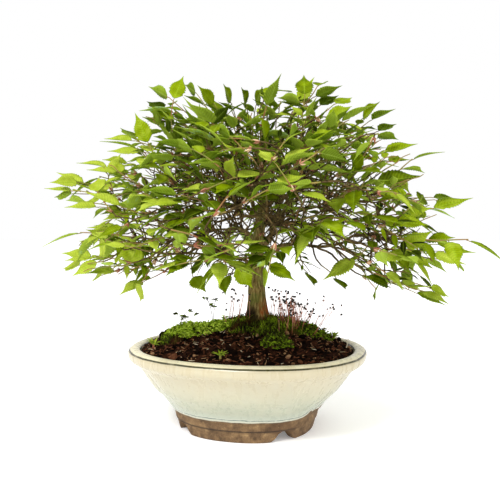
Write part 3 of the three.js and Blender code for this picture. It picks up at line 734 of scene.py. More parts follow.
class Shells:
    """Closed shells gathered into one piece, in millimetres. Each point carries four marks, which its
    material reads, and each face the number of its material, its look."""

    def __init__(self):
        self.points, self.marks, self.faces, self.looks = [], [], [], []
        self.count = 0

    def add(self, points, faces, caps=(), marks=(0, 0, 0, 0), look=0):
        self.points.append(points)
        self.marks.append(np.broadcast_to(np.asarray(marks, float), (len(points), 4)))
        self.faces += (np.asarray(faces) + self.count).tolist()
        self.faces += [[corner + self.count for corner in cap] for cap in caps]
        self.looks.append(np.broadcast_to(look, len(faces) + len(caps)))
        self.count += len(points)

    def mesh(self, name):
        mesh = bpy.data.meshes.new(name)
        mesh.from_pydata((np.vstack(self.points) * MM + HOME).tolist(), [], self.faces)
        return mesh

    def piece(self, name, materials, slot, replaced=None, smooth=True):
        mesh = self.mesh(name)
        marks = mesh.attributes.new("marks", "FLOAT_COLOR", "POINT")
        marks.data.foreach_set("color", np.vstack(self.marks).astype(np.float32).ravel())
        mesh.polygons.foreach_set("material_index", np.concatenate(self.looks).astype(np.int32))
        mesh.polygons.foreach_set("use_smooth", np.full(len(mesh.polygons), smooth))
        for material in materials:
            mesh.materials.append(material)
        mesh.update()
        piece = add_object(name, mesh)
        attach(piece, "root")
        if replaced:
            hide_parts(replaced)
        return piece


@functools.cache
def ring_faces(rings, sides):
    """The quads between rings of points, and the two end caps."""
    i = np.arange(rings - 1)[:, None] * sides
    k = np.arange(sides)
    after = (k + 1) % sides
    quads = columns(i + k, i + after, i + sides + after, i + sides + k).reshape(-1, 4)
    return quads, [k[::-1].tolist(), (k + (rings - 1) * sides).tolist()]


def inside_out(quads, caps):
    return quads[:, ::-1], [cap[::-1] for cap in caps]


def add_tube(shells, path, radii, sides, marks=(0, 0, 0, 0), look=0):
    """A closed round tube along a row of points, with a radius at each, and marks that may be too."""
    path = np.asarray(path, float)
    ways = np.gradient(path, axis=0)
    ways /= np.linalg.norm(ways, axis=1)[:, None]
    side = np.cross(ways[0], (0.31, 0.87, 0.38))
    cos, sin = np.cos(round_turns(sides)), np.sin(round_turns(sides))
    rings = []
    for point, way, radius in zip(path, ways, np.broadcast_to(radii, len(path))):
        side = square_to(way, side)
        rings.append(point + radius * (np.outer(cos, side) + np.outer(sin, np.cross(way, side))))
    marks = np.asarray(marks, float)
    if marks.ndim == 2:
        marks = np.repeat(marks, sides, axis=0)
    shells.add(np.vstack(rings), *ring_faces(len(path), sides), marks, look)


def cut_away(piece, cutter):
    """Cuts one piece out of another, and takes the cutter away."""
    hole = piece.modifiers.new("hole", "BOOLEAN")
    hole.operation, hole.object, hole.solver = "DIFFERENCE", cutter, "EXACT"
    bpy.context.view_layer.update()
    piece.data = bpy.data.meshes.new_from_object(piece.evaluated_get(bpy.context.evaluated_depsgraph_get()))
    piece.modifiers.clear()
    bpy.data.objects.remove(cutter)


# ---------------------------------------------------------------- materials


def paint(code):
    """A colour from its screen value, such as "8fb31a"."""
    shares = [int(code[i : i + 2], 16) / 255 for i in (0, 2, 4)]
    return (*(s / 12.92 if s < 0.04045 else ((s + 0.055) / 1.055) ** 2.4 for s in shares), 1.0)


def add_node(tree, kind, inputs, output=0, **settings):
    """The value that a new shader node gives, with each of its inputs linked or set."""
    node = tree.nodes.new("ShaderNode" + kind)
    for setting, value in settings.items():
        setattr(node, setting, value)
    for name, value in inputs.items():
        if isinstance(value, Value):
            tree.links.new(value.socket, node.inputs[name])
        else:
            node.inputs[name].default_value = paint(value) if isinstance(value, str) else value
    return Value(node.outputs[output])


class Value:
    """What a shader node gives, to be worked on by further nodes."""

    def __init__(self, socket):
        self.socket, self.node, self.tree = socket, socket.node, socket.id_data

    def math(self, operation, other=0.0):
        return add_node(self.tree, "Math", {0: self, 1: other}, operation=operation)

    def __add__(self, other):
        return self.math("ADD", other)

    def __sub__(self, other):
        return self.math("SUBTRACT", other)

    def __mul__(self, other):
        return self.math("MULTIPLY", other)

    def __pow__(self, other):
        return self.math("POWER", other)

    def __abs__(self):
        return self.math("ABSOLUTE")

    def __rsub__(self, other):
        return add_node(self.tree, "Math", {0: other, 1: self}, operation="SUBTRACT")

    def parts(self, kind):
        """The parts of a place or a colour."""
        return [Value(socket) for socket in add_node(self.tree, "Separate" + kind, {0: self}).node.outputs]

    def span(self, low, high, to_low=0.0, to_high=1.0):
        """The value's share of the way from low to high, smoothly."""
        inputs = {"Value": self, "From Min": low, "From Max": high, "To Min": to_low, "To Max": to_high}
        return add_node(self.tree, "MapRange", inputs, interpolation_type="SMOOTHSTEP")

    def colours(self, stops):
        """A run of colours, from a screen value at each of these shares."""
        run = add_node(self.tree, "ValToRGB", {"Fac": self})
        elements = run.node.color_ramp.elements
        while len(elements) < len(stops):
            elements.new(0.5)
        for element, share in zip(elements, stops):
            element.position = share
        for element, code in zip(elements, stops.values()):
            element.color = paint(code)
        return run

    def mixed(self, share, other, blend="MIX"):
        """The colour with a share of another."""
        inputs = {0: share, 6: self, 7: other}
        return add_node(self.tree, "Mix", inputs, 2, data_type="RGBA", blend_type=blend)


class Finish:
    """A material of shader nodes."""

    def __init__(self, name, **settings):
        self.material = bpy.data.materials.new(name)
        self.material.use_nodes = True
        self.tree = self.material.node_tree
        self.shader = self.tree.nodes["Principled BSDF"]
        for setting, value in settings.items():
            self.shader.inputs[setting.replace("_", " ")].default_value = value
        self.place = add_node(self.tree, "TexCoord", {}, "Object")
        marks = add_node(self.tree, "Attribute", {}, "Color", attribute_name="marks")
        self.marks = [*marks.parts("Color"), Value(marks.node.outputs["Alpha"])]

    def noise(self, size, detail=2.0, rough=0.5, stretch=1.0):
        """A cloudy value about 0.5, with clouds about size millimetres apart, stretched upwards."""
        place = self.place
        if stretch != 1:
            place = add_node(self.tree, "Mapping", {"Vector": place, "Scale": (1, 1, 1 / stretch)})
        inputs = {"Vector": place, "Scale": 1 / (size * MM), "Detail": detail, "Roughness": rough}
        return add_node(self.tree, "TexNoise", inputs)

    def cells(self, size, feature="F1"):
        """The distance from the middle, or the edge, of cells about size millimetres apart."""
        inputs = {"Vector": self.place, "Scale": 1 / (size * MM)}
        return add_node(self.tree, "TexVoronoi", inputs, feature=feature)

    def set(self, **inputs):
        for name, value in inputs.items():
            self.tree.links.new(value.socket, self.shader.inputs[name.replace("_", " ")])
        return self

    def bump(self, value, depth, strength=1.0):
        """Raises the surface by the value times depth millimetres."""
        inputs = {"Height": value, "Distance": depth * MM, "Strength": strength}
        return self.set(Normal=add_node(self.tree, "Bump", inputs))

    def translucent(self, share, colour):
        """Lets a share of the light through."""
        through = add_node(self.tree, "BsdfTranslucent", {"Color": colour})
        both = add_node(self.tree, "MixShader", {0: share, 1: Value(self.shader.outputs[0]), 2: through})
        self.tree.links.new(both.socket, self.tree.nodes["Material Output"].inputs["Surface"])
        return self


def leaf_finish(under):
    """A blade's upper or under side. The marks are the place along it, the place across it, its tone
    and the nearness of a side vein."""
    name = "leaf_underside" if under else "leaf_upper_side"
    skin = Finish(name, Roughness=0.6 if under else 0.5, Specular_IOR_Level=0.05)
    along, across, tone, vein = skin.marks
    shade = tone + (skin.noise(9, 3) - 0.5) * 0.5
    if under:
        # The palest stop, a pale bluish green, is a painted sheen: a reflection of the sky painted into the
        # underside.
        colour = shade.colours({0: "3f520a", 0.45: "829c22", 0.9: "b8cf48", 1: "b9dea6"})
    else:
        colour = shade.colours({0: "171c00", 0.3: "4b5b01", 0.6: "93a904", 1: "d4e258"})
    midrib = across.span(0.11, 0.02)
    lines = (vein**5 * 0.32).math("MAXIMUM", midrib * 0.6)
    colour = colour.mixed(lines, "a5bd52" if under else "9cb82a")
    # Painted shade: the blade is darkened between its side veins, standing for the shade of its pleats.
    hollow = (1 - vein) ** 3
    colour = colour.mixed(hollow * 0.34, "5a6610", "MULTIPLY")
    dry_tip = along.span(0.93, 1) * skin.noise(60).span(0.55, 0.7)
    colour = colour.mixed(dry_tip, "8a6a35")
    skin.set(Base_Color=colour).bump(skin.cells(1.1) + vein * (-0.8 if under else 0.4), 0.12)
    return skin.translucent(0.25, colour.mixed(0.3, "c4e808")).material


def stem_finish():
    """Young stems and leaf stalks: green, flushed with red."""
    skin = Finish("young_stem", Roughness=0.55, Specular_IOR_Level=0.2)
    colour = skin.noise(14, 3).colours({0.3: "6f7a30", 0.5: "8a7a3c", 0.7: "8a4f38"})
    return skin.set(Base_Color=colour).bump(skin.noise(1.2), 0.1).material


def scale_finish():
    """Bud scales and stipules, pinkish brown. The third mark is the tone."""
    skin = Finish("bud_scale", Roughness=0.6, Specular_IOR_Level=0.2)
    tone = skin.marks[2] + skin.noise(2) * 0.3
    colour = tone.colours({0.1: "5a3622", 0.5: "a0624a", 0.8: "c79a78", 1: "dcc49c"})
    return skin.set(Base_Color=colour).bump(skin.noise(0.6), 0.1).translucent(0.2, colour).material


def bark_finish():
    """Grey-brown bark with green algae, a rusty patch low on the right and a painted shadow low on the
    left. The marks are the thickness of the limb, the rusty patch, the painted shadow and the algae."""
    skin = Finish("bark", Roughness=0.85, Specular_IOR_Level=0.05)
    thick, rust, dark, algae = skin.marks
    grain = skin.noise(2.4, 6, 0.65, 5)
    colour = skin.noise(5, 3).colours({0.3: "20170c", 0.7: "705d3a"})
    colour = colour.mixed(thick, grain.colours({0.3: "170f08", 0.44: "5c4a26", 0.6: "94804c", 0.8: "c4b07c"}))
    colour = colour.mixed((skin.noise(11, 4) + algae).span(0.5, 0.78, 0, 0.55), "5f6a2e")
    colour = colour.mixed(rust * skin.noise(4, 4, 0.6, 3).span(0.38, 0.62), "8f4822")
    # Painted shadow, nearly black, low on the trunk's left.
    colour = colour.mixed(dark, "120c07")
    return skin.set(Base_Color=colour).bump(grain + skin.noise(0.9) * 0.3, 0.9).material


def soil_finish():
    """Black peat with red-brown and tan shreds. The third mark is the tone."""
    skin = Finish("soil", Roughness=0.95, Specular_IOR_Level=0.02)
    tone = skin.marks[2] + (skin.noise(3, 5, 0.7) - 0.5) * 0.5
    stops = {0: "0a0605", 0.25: "1d110c", 0.5: "4a2a1c", 0.72: "7a4d36", 0.88: "a98a66", 1: "dccfb4"}
    return skin.set(Base_Color=tone.colours(stops)).bump(skin.noise(0.9, 6, 0.7), 0.7).material


def moss_finish():
    """The marks are how near a strand's tip is, how brown it is and its tone."""
    skin = Finish("moss", Roughness=0.8, Specular_IOR_Level=0.05)
    tip, brown, tone, _ = skin.marks
    shade = tone + (tip - 0.6) * 0.3
    colour = shade.colours({0: "16150c", 0.3: "3d4114", 0.6: "6e861b", 0.85: "9cbc28", 1: "cae252"})
    colour = colour.mixed(brown, "4a3018")
    return skin.set(Base_Color=colour).bump(skin.noise(0.7), 0.2).translucent(0.2, colour).material


def stalk_finish():
    """The moss's seed stalks and their dark capsules. The first mark goes up the stalk."""
    skin = Finish("moss_seed_stalk", Roughness=0.45)
    colour = skin.marks[0].colours({0: "6a4022", 0.3: "b8694a", 0.8: "d0937a", 0.84: "2c2114", 1: "14100a"})
    return skin.set(Base_Color=colour).bump(skin.noise(0.8), 0.1).material


def screen_finish():
    skin = Finish("drain_mesh", Roughness=0.6)
    colour = skin.noise(3, 4).colours({0.3: "141615", 0.7: "2b2d2c"})
    return skin.set(Base_Color=colour).bump(skin.noise(0.5), 0.1).material


BARE_CLAY_REACH = (HOME[0] + 56 * MM, HOME[0] + 74 * MM)  # where the glaze ends higher, at the right
STEP_SHADE_REACH = (HOME[0] + 62 * MM, HOME[0] + 40 * MM)  # where the painted shade at the foot's step fades, at the right


def glaze_finish():
    """A cream glaze, breaking to a dark line on the lip and ending in a grey edge and a pale bead above
    the raw brown clay of the foot."""
    skin = Finish("cream_glaze", IOR=1.5)
    x, _, z = skin.place.parts("XYZ")
    height = z * (1 / MM)
    level = height + (skin.noise(45) - 0.5) * 5 + skin.noise(28, 3) * 16
    streaks = skin.noise(7, 4, 0.6, 6)
    specks = skin.cells(2.6).span(0.16, 0.05, 0, 0.3) * skin.noise(9).span(0.5, 0.65)
    crackle = skin.cells(4.5, "DISTANCE_TO_EDGE").span(0.035, 0, 0, 0.14)
    stops = {0: "9da190", 0.22: "abaf9a", 0.5: "b9b59d", 0.78: "bfb69c", 1: "bdb192"}
    body = level.span(24, 104).colours(stops).mixed(streaks.span(0.35, 0.75, 0, 0.35), "c1bfab")
    body = body.mixed(specks, "96825a").mixed(crackle, "a8966e")
    rim = skin.noise(20, 3).colours({0.35: "d6caa6", 0.65: "e3dabb"})
    line = abs(height + skin.noise(30) * 1.2 - 91.6).span(1.15, 0.45)
    worn = skin.noise(12, 3).span(0.25, 0.5, 0.7, 1)
    body = body.mixed(height.span(91.2, 92), rim).mixed(line * worn, "3a3720")
    bare = x.span(*BARE_CLAY_REACH) * skin.noise(10, 3)
    edge = height + (skin.noise(16, 3) - 0.5) * 3 - bare * 14
    body = body.mixed(edge.span(36, 29, 0, 0.7), "aeb5a5").mixed(edge.span(29.2, 28.4, 0, 0.6), "c2c5b5")
    thin_line = abs(edge - 27.2).span(0.9, 0.2) * skin.noise(7, 3).span(0.3, 0.55, 0.45, 0.95)
    body = body.mixed(thin_line, "4f605c").mixed(edge.span(26.4, 25.8, 0, 0.8), "c0bfab")
    clay = skin.noise(8, 5, 0.65).colours({0.25: "3a2b17", 0.45: "664d32", 0.6: "836745", 0.8: "ad9163"})
    clay = clay.mixed(skin.noise(30).span(0.52, 0.7, 0, 0.6), "5a3f28")
    clay = clay.mixed(skin.cells(3.4).span(0.12, 0.03, 0, 0.7), "bda678")
    # Painted shade: a dark line at the foot's step, stronger towards the left.
    step_shade = abs(height - 13.4).span(1.3, 0.3) * x.span(*STEP_SHADE_REACH, 0, 0.8)
    clay = clay.mixed(step_shade, "2c1e12").mixed(edge.span(22.4, 24, 0, 0.45), "5d5348")
    is_clay = edge.span(24.6, 23.8)
    rough = is_clay.span(0, 1, 0.22, 0.85) + streaks * 0.12
    bumps = skin.noise(22) * 1.2 + skin.noise(1.3, 4, 0.7) * is_clay
    return skin.set(Base_Color=body.mixed(is_clay, clay), Roughness=rough).bump(bumps, 0.8, 0.8).material


# ---------------------------------------------------------------- pot

# The foot ring's radii, and radii with heights, from its inside round to where the wall starts.
FOOT_INSIDE_LOW, FOOT_INSIDE_HIGH = 70.5, 69
FOOT_UNDERSIDE = (71.5, 75, 78.6)
FOOT_OUTSIDE = [(78.9, 0), (79.9, 0.6), (83, 12.2)]
FOOT_SIDES = [(83.9, 12.6), (84.3, 13.1), (84.9, 16), (85.5, 19)]
FOOT_TOP = (86, 21)
FOOT_STEPS = np.linspace(0, 1, 6)
POT_SIDES = 288
ARCH_RADIUS = 76
DRAIN_DEPTH = 40
WALL_INSIDE = [(radius - WALL_SLANT, height + 2) for radius, height in WALL_OUTSIDE[::-1]]
HOLLOW = curve_through([LIP[-1], *WALL_INSIDE, (78, 27.5), (66, FLOOR_HEIGHT)], 4)


def slenderness(height):
    return mix(FOOT_SLENDERNESS, RIM_SLENDERNESS, height / POT_HEIGHT)


def to_oval(radius, angle, height):
    """The pot's own squared oval, before its turn."""
    cos, sin = np.cos(angle), np.sin(angle)
    x = radius * np.sign(cos) * np.abs(cos) ** (2 / POT_POWER)
    y = radius * np.sign(sin) * np.abs(sin) ** (2 / POT_POWER) * slenderness(height)
    return x, y


def turned_with_pot(x, y, z):
    cos, sin = math.cos(POT_TURN), math.sin(POT_TURN)
    return columns(x * cos - y * sin, x * sin + y * cos, z)


def oval_row(radius, angle, height, rise=0.0):
    """Places on the pot's turned oval at this height, raised a little."""
    return turned_with_pot(*to_oval(radius, angle, height), height + rise)


def arch_height(x, y):
    """How high the cut-outs near the diagonals reach over a place of the foot."""
    half = ARCH_WIDTH / 2
    t = np.linspace(0, 1, 12)
    side_x = half * ((1 - t) ** 2 * 0.5 + 2 * t * (1 - t) * 0.62 + t * t)
    side_z = ARCH_HEIGHT * ((1 - t) ** 2 * 0.66 + 2 * t * (1 - t) * 0.2) - t * t
    xs = np.concatenate([half * 0.5 * t, side_x[1:]])
    zs = np.concatenate([ARCH_HEIGHT * mix(1, 0.66, t * t), side_z[1:]])
    across = np.abs(np.abs(x) * math.sin(ARCH_TURN) - np.abs(y) * math.cos(ARCH_TURN))
    return np.clip(np.interp(across, xs, zs), 0, BASE_UNDERSIDE - 0.2)


def make_pot(glaze):
    """One fired piece: the CAD model's profile, made smooth, on a foot ring with four cut-outs."""
    angle = round_turns(POT_SIDES)
    foot = arch_height(*to_oval(ARCH_RADIUS, angle, 0))
    rows = []
    for share in FOOT_STEPS[::-1]:
        height = mix(foot, BASE_UNDERSIDE, share)
        rows.append((mix(FOOT_INSIDE_LOW, FOOT_INSIDE_HIGH, height / BASE_UNDERSIDE), height))
    rows += [(radius, foot) for radius in FOOT_UNDERSIDE]
    radii, heights = zip(*FOOT_OUTSIDE)
    for share in FOOT_STEPS:
        height = mix(foot + 0.5, heights[-1], share)
        rows.append((np.interp(height, heights, radii), height))
    rows += FOOT_SIDES
    corner = np.exp((np.abs(np.sin(2 * angle)) - 1) / 0.012)
    for radius, height in curve_through([FOOT_TOP, *WALL_OUTSIDE, *LIP], 5):
        pull = math.exp(-(((height - 52) / 22) ** 2)) if radius > 84 else 0
        rings = 0.22 * math.sin(height * 1.15) * (1 if 26 < height < 76 else 0.2)
        rows.append((radius + rings - 2.0 * pull * corner + 0.5 * pull, height))
    rows += list(HOLLOW[1:])
    points = np.vstack([oval_row(radius, angle, height) for radius, height in rows])
    shells = Shells()
    shells.add(points, *ring_faces(len(rows), POT_SIDES))
    pot = shells.piece("pot_fired", [glaze], "glaze", "pot")
    for side in (-1, 1):
        bpy.ops.mesh.primitive_cylinder_add(vertices=48, radius=DRAIN_RADIUS * MM, depth=DRAIN_DEPTH * MM)
        drain = bpy.context.object
        drain.location = turned_with_pot(side * DRAIN_PLACE, 0.0, FLOOR_HEIGHT - 5.0) * MM + HOME
        cut_away(pot, drain)


# ---------------------------------------------------------------- leaves

VEIN_PAIRS = 11
STALK_SHARE = 0.09
BLADE_THICKNESS = 0.35
PLEAT_SHARE = 0.015
BLADE_ROWS = 2 * VEIN_PAIRS + 3
BLADE_COLUMNS = np.array([-1, -0.5, 0, 0.5, 1])


def plan_blade():
    """The blade's grid, for a length and a half width of 1: its place along, its half width there, the
    rise of its pleats, and the nearness of a side vein."""
    t = np.linspace(0.004, 0.996, BLADE_ROWS)[:, None]
    side = np.abs(BLADE_COLUMNS)[None, :]
    is_vein = (np.arange(BLADE_ROWS) % 2 == 1)[:, None]
    along = t + 0.24 * (1 - t) * (1 - np.exp(-t / 0.07)) * side
    along = np.minimum(along + np.where(is_vein, 0.012, 0) * (side == 1), 0.999)
    width = along**0.6 * (1 - along) ** 1.15 / 0.325 * (1 - 0.55 * smooth_step(0.5, 0.86, along))
    width = np.maximum(width * np.where(side == 1, np.where(is_vein, 1.1, 0.9), 1), 0.02)
    pleat = np.where(is_vein, -1.0, 1.0) * np.sin(math.pi * np.clip(side * 0.78, 0, 1)) * np.sqrt(width)
    return along, width, pleat, is_vein * np.ones_like(side)


def plan_blade_faces():
    """The faces of its upper side, its under side and the edge between them, and the look of each."""
    grid = np.arange(BLADE_ROWS * len(BLADE_COLUMNS)).reshape(BLADE_ROWS, -1)
    upper = columns(grid[:-1, :-1], grid[1:, :-1], grid[1:, 1:], grid[:-1, 1:]).reshape(-1, 4)
    under = grid.size + upper[:, [0, 3, 2, 1]]
    rim = np.concatenate([grid[0, :-1], grid[:-1, -1], grid[-1, :0:-1], grid[:0:-1, 0]])
    after = np.roll(rim, -1)
    edge = columns(rim, after, grid.size + after, grid.size + rim)
    return np.vstack([upper, under, edge]), np.repeat([0, 1], [len(upper), len(under) + len(edge)])


BLADE = plan_blade()
BLADE_FACES, BLADE_LOOKS = plan_blade_faces()


def add_leaf(shells, leaf, draw, fold=LEAF_FOLD, arch=LEAF_ARCH):
    """A toothed, pleated blade on its stalk: top look 0, underside 1, stalk 2."""
    along, width, pleat, vein = BLADE
    sweep = draw.normal(0, 0.06) * leaf.curl * leaf.length
    twist = draw.normal(0, 0.25) * leaf.curl
    arch = arch * leaf.curl * leaf.length
    share = STALK_SHARE + (1 - STALK_SHARE) * along
    y = BLADE_COLUMNS * leaf.length * LEAF_WIDTH / 2 * leaf.breadth * width
    z = fold * np.abs(y) + pleat * PLEAT_SHARE * leaf.length
    cos, sin = np.cos(twist * share), np.sin(twist * share)
    y, z = y * cos - z * sin + sweep * share**2, y * sin + z * cos - arch * share**2
    axes = np.array([leaf.along, np.cross(leaf.normal, leaf.along), leaf.normal])
    top = leaf.base + columns(leaf.length * share, y, z).reshape(-1, 3) @ axes
    # Painted light: leaves towards the crown's left end are painted paler.
    painted_light = LEFT_PAINTED_LIGHT * float(smooth_step(PAINTED_LIGHT_START, PAINTED_LIGHT_END, leaf.base[0]))
    tone = max(leaf.tone, min(PALEST_PAINTED_LIGHT, leaf.tone + painted_light))
    marks = columns(along, np.abs(BLADE_COLUMNS), tone, vein).reshape(-1, 4)
    points = np.vstack([top, top - leaf.normal * BLADE_THICKNESS])
    shells.add(points, BLADE_FACES, marks=np.vstack([marks, marks]), look=BLADE_LOOKS)
    reach = np.array([0, 0.5, 1, 1.6]) * STALK_SHARE
    stalk = columns(leaf.length * reach, sweep * reach**2, -arch * reach**2 - BLADE_THICKNESS) @ axes
    add_tube(shells, leaf.base + stalk, [0.55, 0.5, 0.45, 0.3], 5, look=2)


def add_bud_scales(shells, place, way, draw, count):
    """Papery scales round the foot of a young shoot: look 3."""
    for _ in range(count):
        side = unit(np.cross(way, draw.normal(size=3)))
        lean = unit(way + side * draw.uniform(0.15, 0.6))
        length = draw.uniform(3, 7)
        path = [place + side * (0.6 + 0.12 * length * r * r) + lean * length * r for r in (0, 0.35, 0.7, 1)]
        add_tube(shells, path, [0.4, 0.9, 0.7, 0.1], 5, (0, 0, draw.uniform(0.1, 0.9), 0), 3)


def add_stem(shells, points, first, last):
    path = curve_through(points, 3)
    add_tube(shells, path, np.linspace(first, last, len(path)), 6, look=2)


def make_packed_shoots(shoots, looks):
    """The CAD model's shoots, with finer stems and leaves in the same places."""
    draw = seeded("packed")
    for number, shoot in enumerate(shoots, start=1):
        shells = Shells()
        add_stem(shells, [shoot.start + shoot.way * GAP, *shoot.stem[1:]], 1.25, 0.6)
        add_bud_scales(shells, shoot.start + shoot.way * 2, shoot.way, draw, 6)
        for leaf in shoot.leaves:
            leaf.tone, leaf.breadth = draw.uniform(0.35, 0.95), draw.uniform(0.82, 0.95)
            add_leaf(shells, leaf, draw)
        shells.piece(f"leafy_shoot_{number:02d}", looks, "leaf", f"shoot_{number:02d}")


def make_more_shoots(shoots, name, looks, batch):
    """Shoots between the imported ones, some tens to a piece."""
    draw = seeded("more")
    for first in range(0, len(shoots), batch):
        shells = Shells()
        for shoot in shoots[first : first + batch]:
            add_stem(shells, shoot.stem, 0.75, 0.5)
            if draw.uniform() < 0.6:
                add_bud_scales(shells, shoot.stem[0], shoot.way, draw, 6)
            for leaf in shoot.leaves:
                arch = draw.uniform(-0.02, 0.26)
                add_leaf(shells, leaf, draw, fold=draw.uniform(0.1, 0.4), arch=arch)
        shells.piece(f"{name}_{first // batch + 1}", looks, "leaf")


# ---------------------------------------------------------------- wood


TRUNK_RINGS = 90
TRUNK_ROUGHNESS = 0.28
LIMB_SIDES, TWIG_SIDES = 12, 6
FULL_BARK = 5  # the radius from which a limb's bark is as grey as the trunk's
# Heights, and the trunk's middle across at each: rust to the right of it, painted shadow to the left.
PATCH_HEIGHTS, PATCH_MIDDLES = [92, 150, 210, 276], [13, 12, 6, 24]
RUST_TOP, PAINTED_SHADOW_TOP, ALGAE_START = (158, 138), (147, 134), (120, 150)


def trunk_shell(extra, sides=64, rough=0.0):
    """The points and faces of the trunk's fluted rings, from its foot in the soil to its top."""
    angle = round_turns(sides)
    way = columns(np.cos(angle), np.sin(angle), 0)
    flutes = 1 + FLUTE_DEPTH * np.sin(3 * angle + 0.4) + FLUTE_DEPTH * 0.5 * np.sin(5 * angle)
    rings = []
    for height in np.linspace(TRUNK_FOOT - extra, TRUNK_TOP, TRUNK_RINGS):
        x, y, _ = trunk_point(height)
        ring = np.array([x, y, height]) + way * ((trunk_radius(height) + extra) * flutes)[:, None]
        bump = ripples(ring * (1, 1, 0.35), 11, 4) + ripples(ring * (1, 1, 0.25), 4, 6) * 0.5
        rings.append(ring + way * bump[:, None] * rough)
    return np.vstack(rings), *ring_faces(len(rings), sides)


def make_wood(limbs, twigs, bark):
    shells = Shells()
    points, *faces = trunk_shell(0, rough=TRUNK_ROUGHNESS)
    height = points[:, 2]
    side = points[:, 0] - np.interp(height, PATCH_HEIGHTS, PATCH_MIDDLES)
    rust = smooth_step(0, 6, side) * smooth_step(*RUST_TOP, height)
    # Painted shadow: the trunk darkened low on its left.
    dark = smooth_step(3, -4, side) * smooth_step(*PAINTED_SHADOW_TOP, height) * 0.95
    shells.add(points, *faces, columns(1, rust, dark, smooth_step(*ALGAE_START, height) * 0.12))
    draw = seeded("wood")
    for row, radii in limbs:
        path = curve_through(row, LIMB_STEPS)
        size = resampled(radii, len(path))
        path = path + wander(path, 34, 11) * np.sin(np.linspace(0, math.pi, len(path)))[:, None] * 1.2
        thick = np.clip(size / FULL_BARK, 0, 1)
        add_tube(shells, path, size, LIMB_SIDES, columns(thick, 0, 0, draw.uniform(-0.1, 0.14)))
    for path, size in twigs:
        add_tube(shells, path, size, TWIG_SIDES, (0, 0, 0, draw.uniform(-0.15, 0.1)))
    shells.piece("trunk_and_boughs", [bark], "bark", "trunk")


# ---------------------------------------------------------------- soil, moss and weeds

SOIL_GAP = 1.2 * GAP
SOIL_SIDES = 240
TRUNK_ROOM = 1.0  # between the trunk and what is cut out round it
FLAT_RADIUS = 63  # of the soil's flat underside
SCREEN_RECESS = 4
SOIL_BITS = 3600
SHRED_SHARE = 0.55
LUMPS = [(-104, 16, 6), (-97, 22, 7), (-89, 26, 6.4), (-101, 6, 4), (-82, 30, 5), (112, 10, 4)]
ROOTLET = (116, -22)
FIRST_MOSS_SEED = 51
CUSHION_SIDES = 140
STRANDS = 1.6  # to a square millimetre of a cushion's half length times its half width

# Where the seed stalks stand: middle and reach along the pot, and density.
STALK_PLACES = [(54, 14, 1.0), (88, 18, 0.5), (-28, 20, 0.42)]

SPRIG_LEAVES = 6
TUFT_BLADES = 11
# Low creeping weeds: [name, x, y, half length, half width, sprigs, tone]
CREEPERS = [
    ("creeping_weed_left", -55, -12, 39, 26, 250, 0.86),
    ("creeping_weed_front", 33, -72, 18, 9, 60, 0.4),
    ("creeping_weed_right", 82, -10, 20, 16, 60, 0.45),
]
# Thin weed stalks: [x, y, reach across, height]
STALKS = [(-42, 12, -10, 33), (-41, 10, 3, 31), (-84, -4, 24, 19), (-80, -6, 12, 22), (-70, 0, -14, 17)]


def oval_share(x, y):
    """How far out a place is: 0 at the pot's middle and 1 at the soil's edge."""
    cos, sin = math.cos(POT_TURN), math.sin(POT_TURN)
    u, v = x * cos + y * sin, (y * cos - x * sin) / slenderness(SOIL_EDGE)
    return (np.abs(u / SOIL_RADIUS) ** POT_POWER + np.abs(v / SOIL_RADIUS) ** POT_POWER) ** (1 / POT_POWER)


def soil_height(x, y):
    return SOIL_EDGE + SOIL_RISE * (1 - np.minimum(oval_share(x, y), 1) ** SOIL_POWER)


def on_soil(x, y):
    return np.array([x, y, soil_height(x, y)])


def cut_round_trunk(piece):
    """Makes room for the trunk in a piece."""
    shells = Shells()
    shells.add(*trunk_shell(TRUNK_ROOM, 40))
    cut_away(piece, add_object("cutter", shells.mesh("cutter")))


def make_soil(soil_look):
    """The mound, which fills the pot's hollow, with a recess over each drain screen."""
    angle = round_turns(SOIL_SIDES)
    rows = []
    for share in np.linspace(0.008, 1, 70):
        row = oval_row(SOIL_RADIUS * share, angle, SOIL_EDGE)
        lumps = ripples(row, 10, 31) * 0.8 + ripples(row, 4.2, 32) * 0.6
        row[:, 2] = soil_height(row[:, 0], row[:, 1]) + lumps * smooth_step(1, 0.94, share)
        rows.append(row)
    for radius, height in HOLLOW[HOLLOW[:, 1] < SOIL_EDGE - 1]:
        rows.append(oval_row(radius - SOIL_GAP, angle, height, SOIL_GAP))
    for radius in np.linspace(FLAT_RADIUS, 1, 44):
        row = oval_row(radius, angle, FLOOR_HEIGHT, SOIL_GAP)
        for name in SCREENS:
            low, high = ((np.array(corner) - HOME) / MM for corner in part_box(name))
            near = ((row[:, :2] > low[:2]) & (row[:, :2] < high[:2])).all(1)
            row[near, 2] = FLOOR_HEIGHT + SCREEN_RECESS
        rows.append(row)
    points = np.vstack(rows)
    marks = columns(0, 0, 0.25 + 0.12 * ripples(points, 14, 33), 0)
    shells = Shells()
    shells.add(points, *inside_out(*ring_faces(len(rows), SOIL_SIDES)), marks)
    cut_round_trunk(shells.piece("soil_mound", [soil_look], "soil", "soil"))


def plan_chip():
    """A ball of twelve corners."""
    golden = (1 + math.sqrt(5)) / 2
    pairs = itertools.product((-1, 1), (-golden, golden))
    corners = [corner for a, b in pairs for corner in [(0, a, b), (a, b, 0), (b, 0, a)]]
    corners = np.array(corners) / math.hypot(1, golden)
    faces = []
    for i, j, k in itertools.combinations(range(12), 3):
        a, b, c = corners[[i, j, k]]
        if max(np.linalg.norm(edge) for edge in (a - b, b - c, c - a)) < 1.1:
            faces.append((i, j, k) if np.cross(b - a, c - a) @ a > 0 else (i, k, j))
    return corners, np.array(faces)


CHIP, CHIP_FACES = plan_chip()


def any_turn(draw):
    return Matrix.Rotation(draw.uniform(0, 6.3), 3, draw.normal(size=3).tolist())


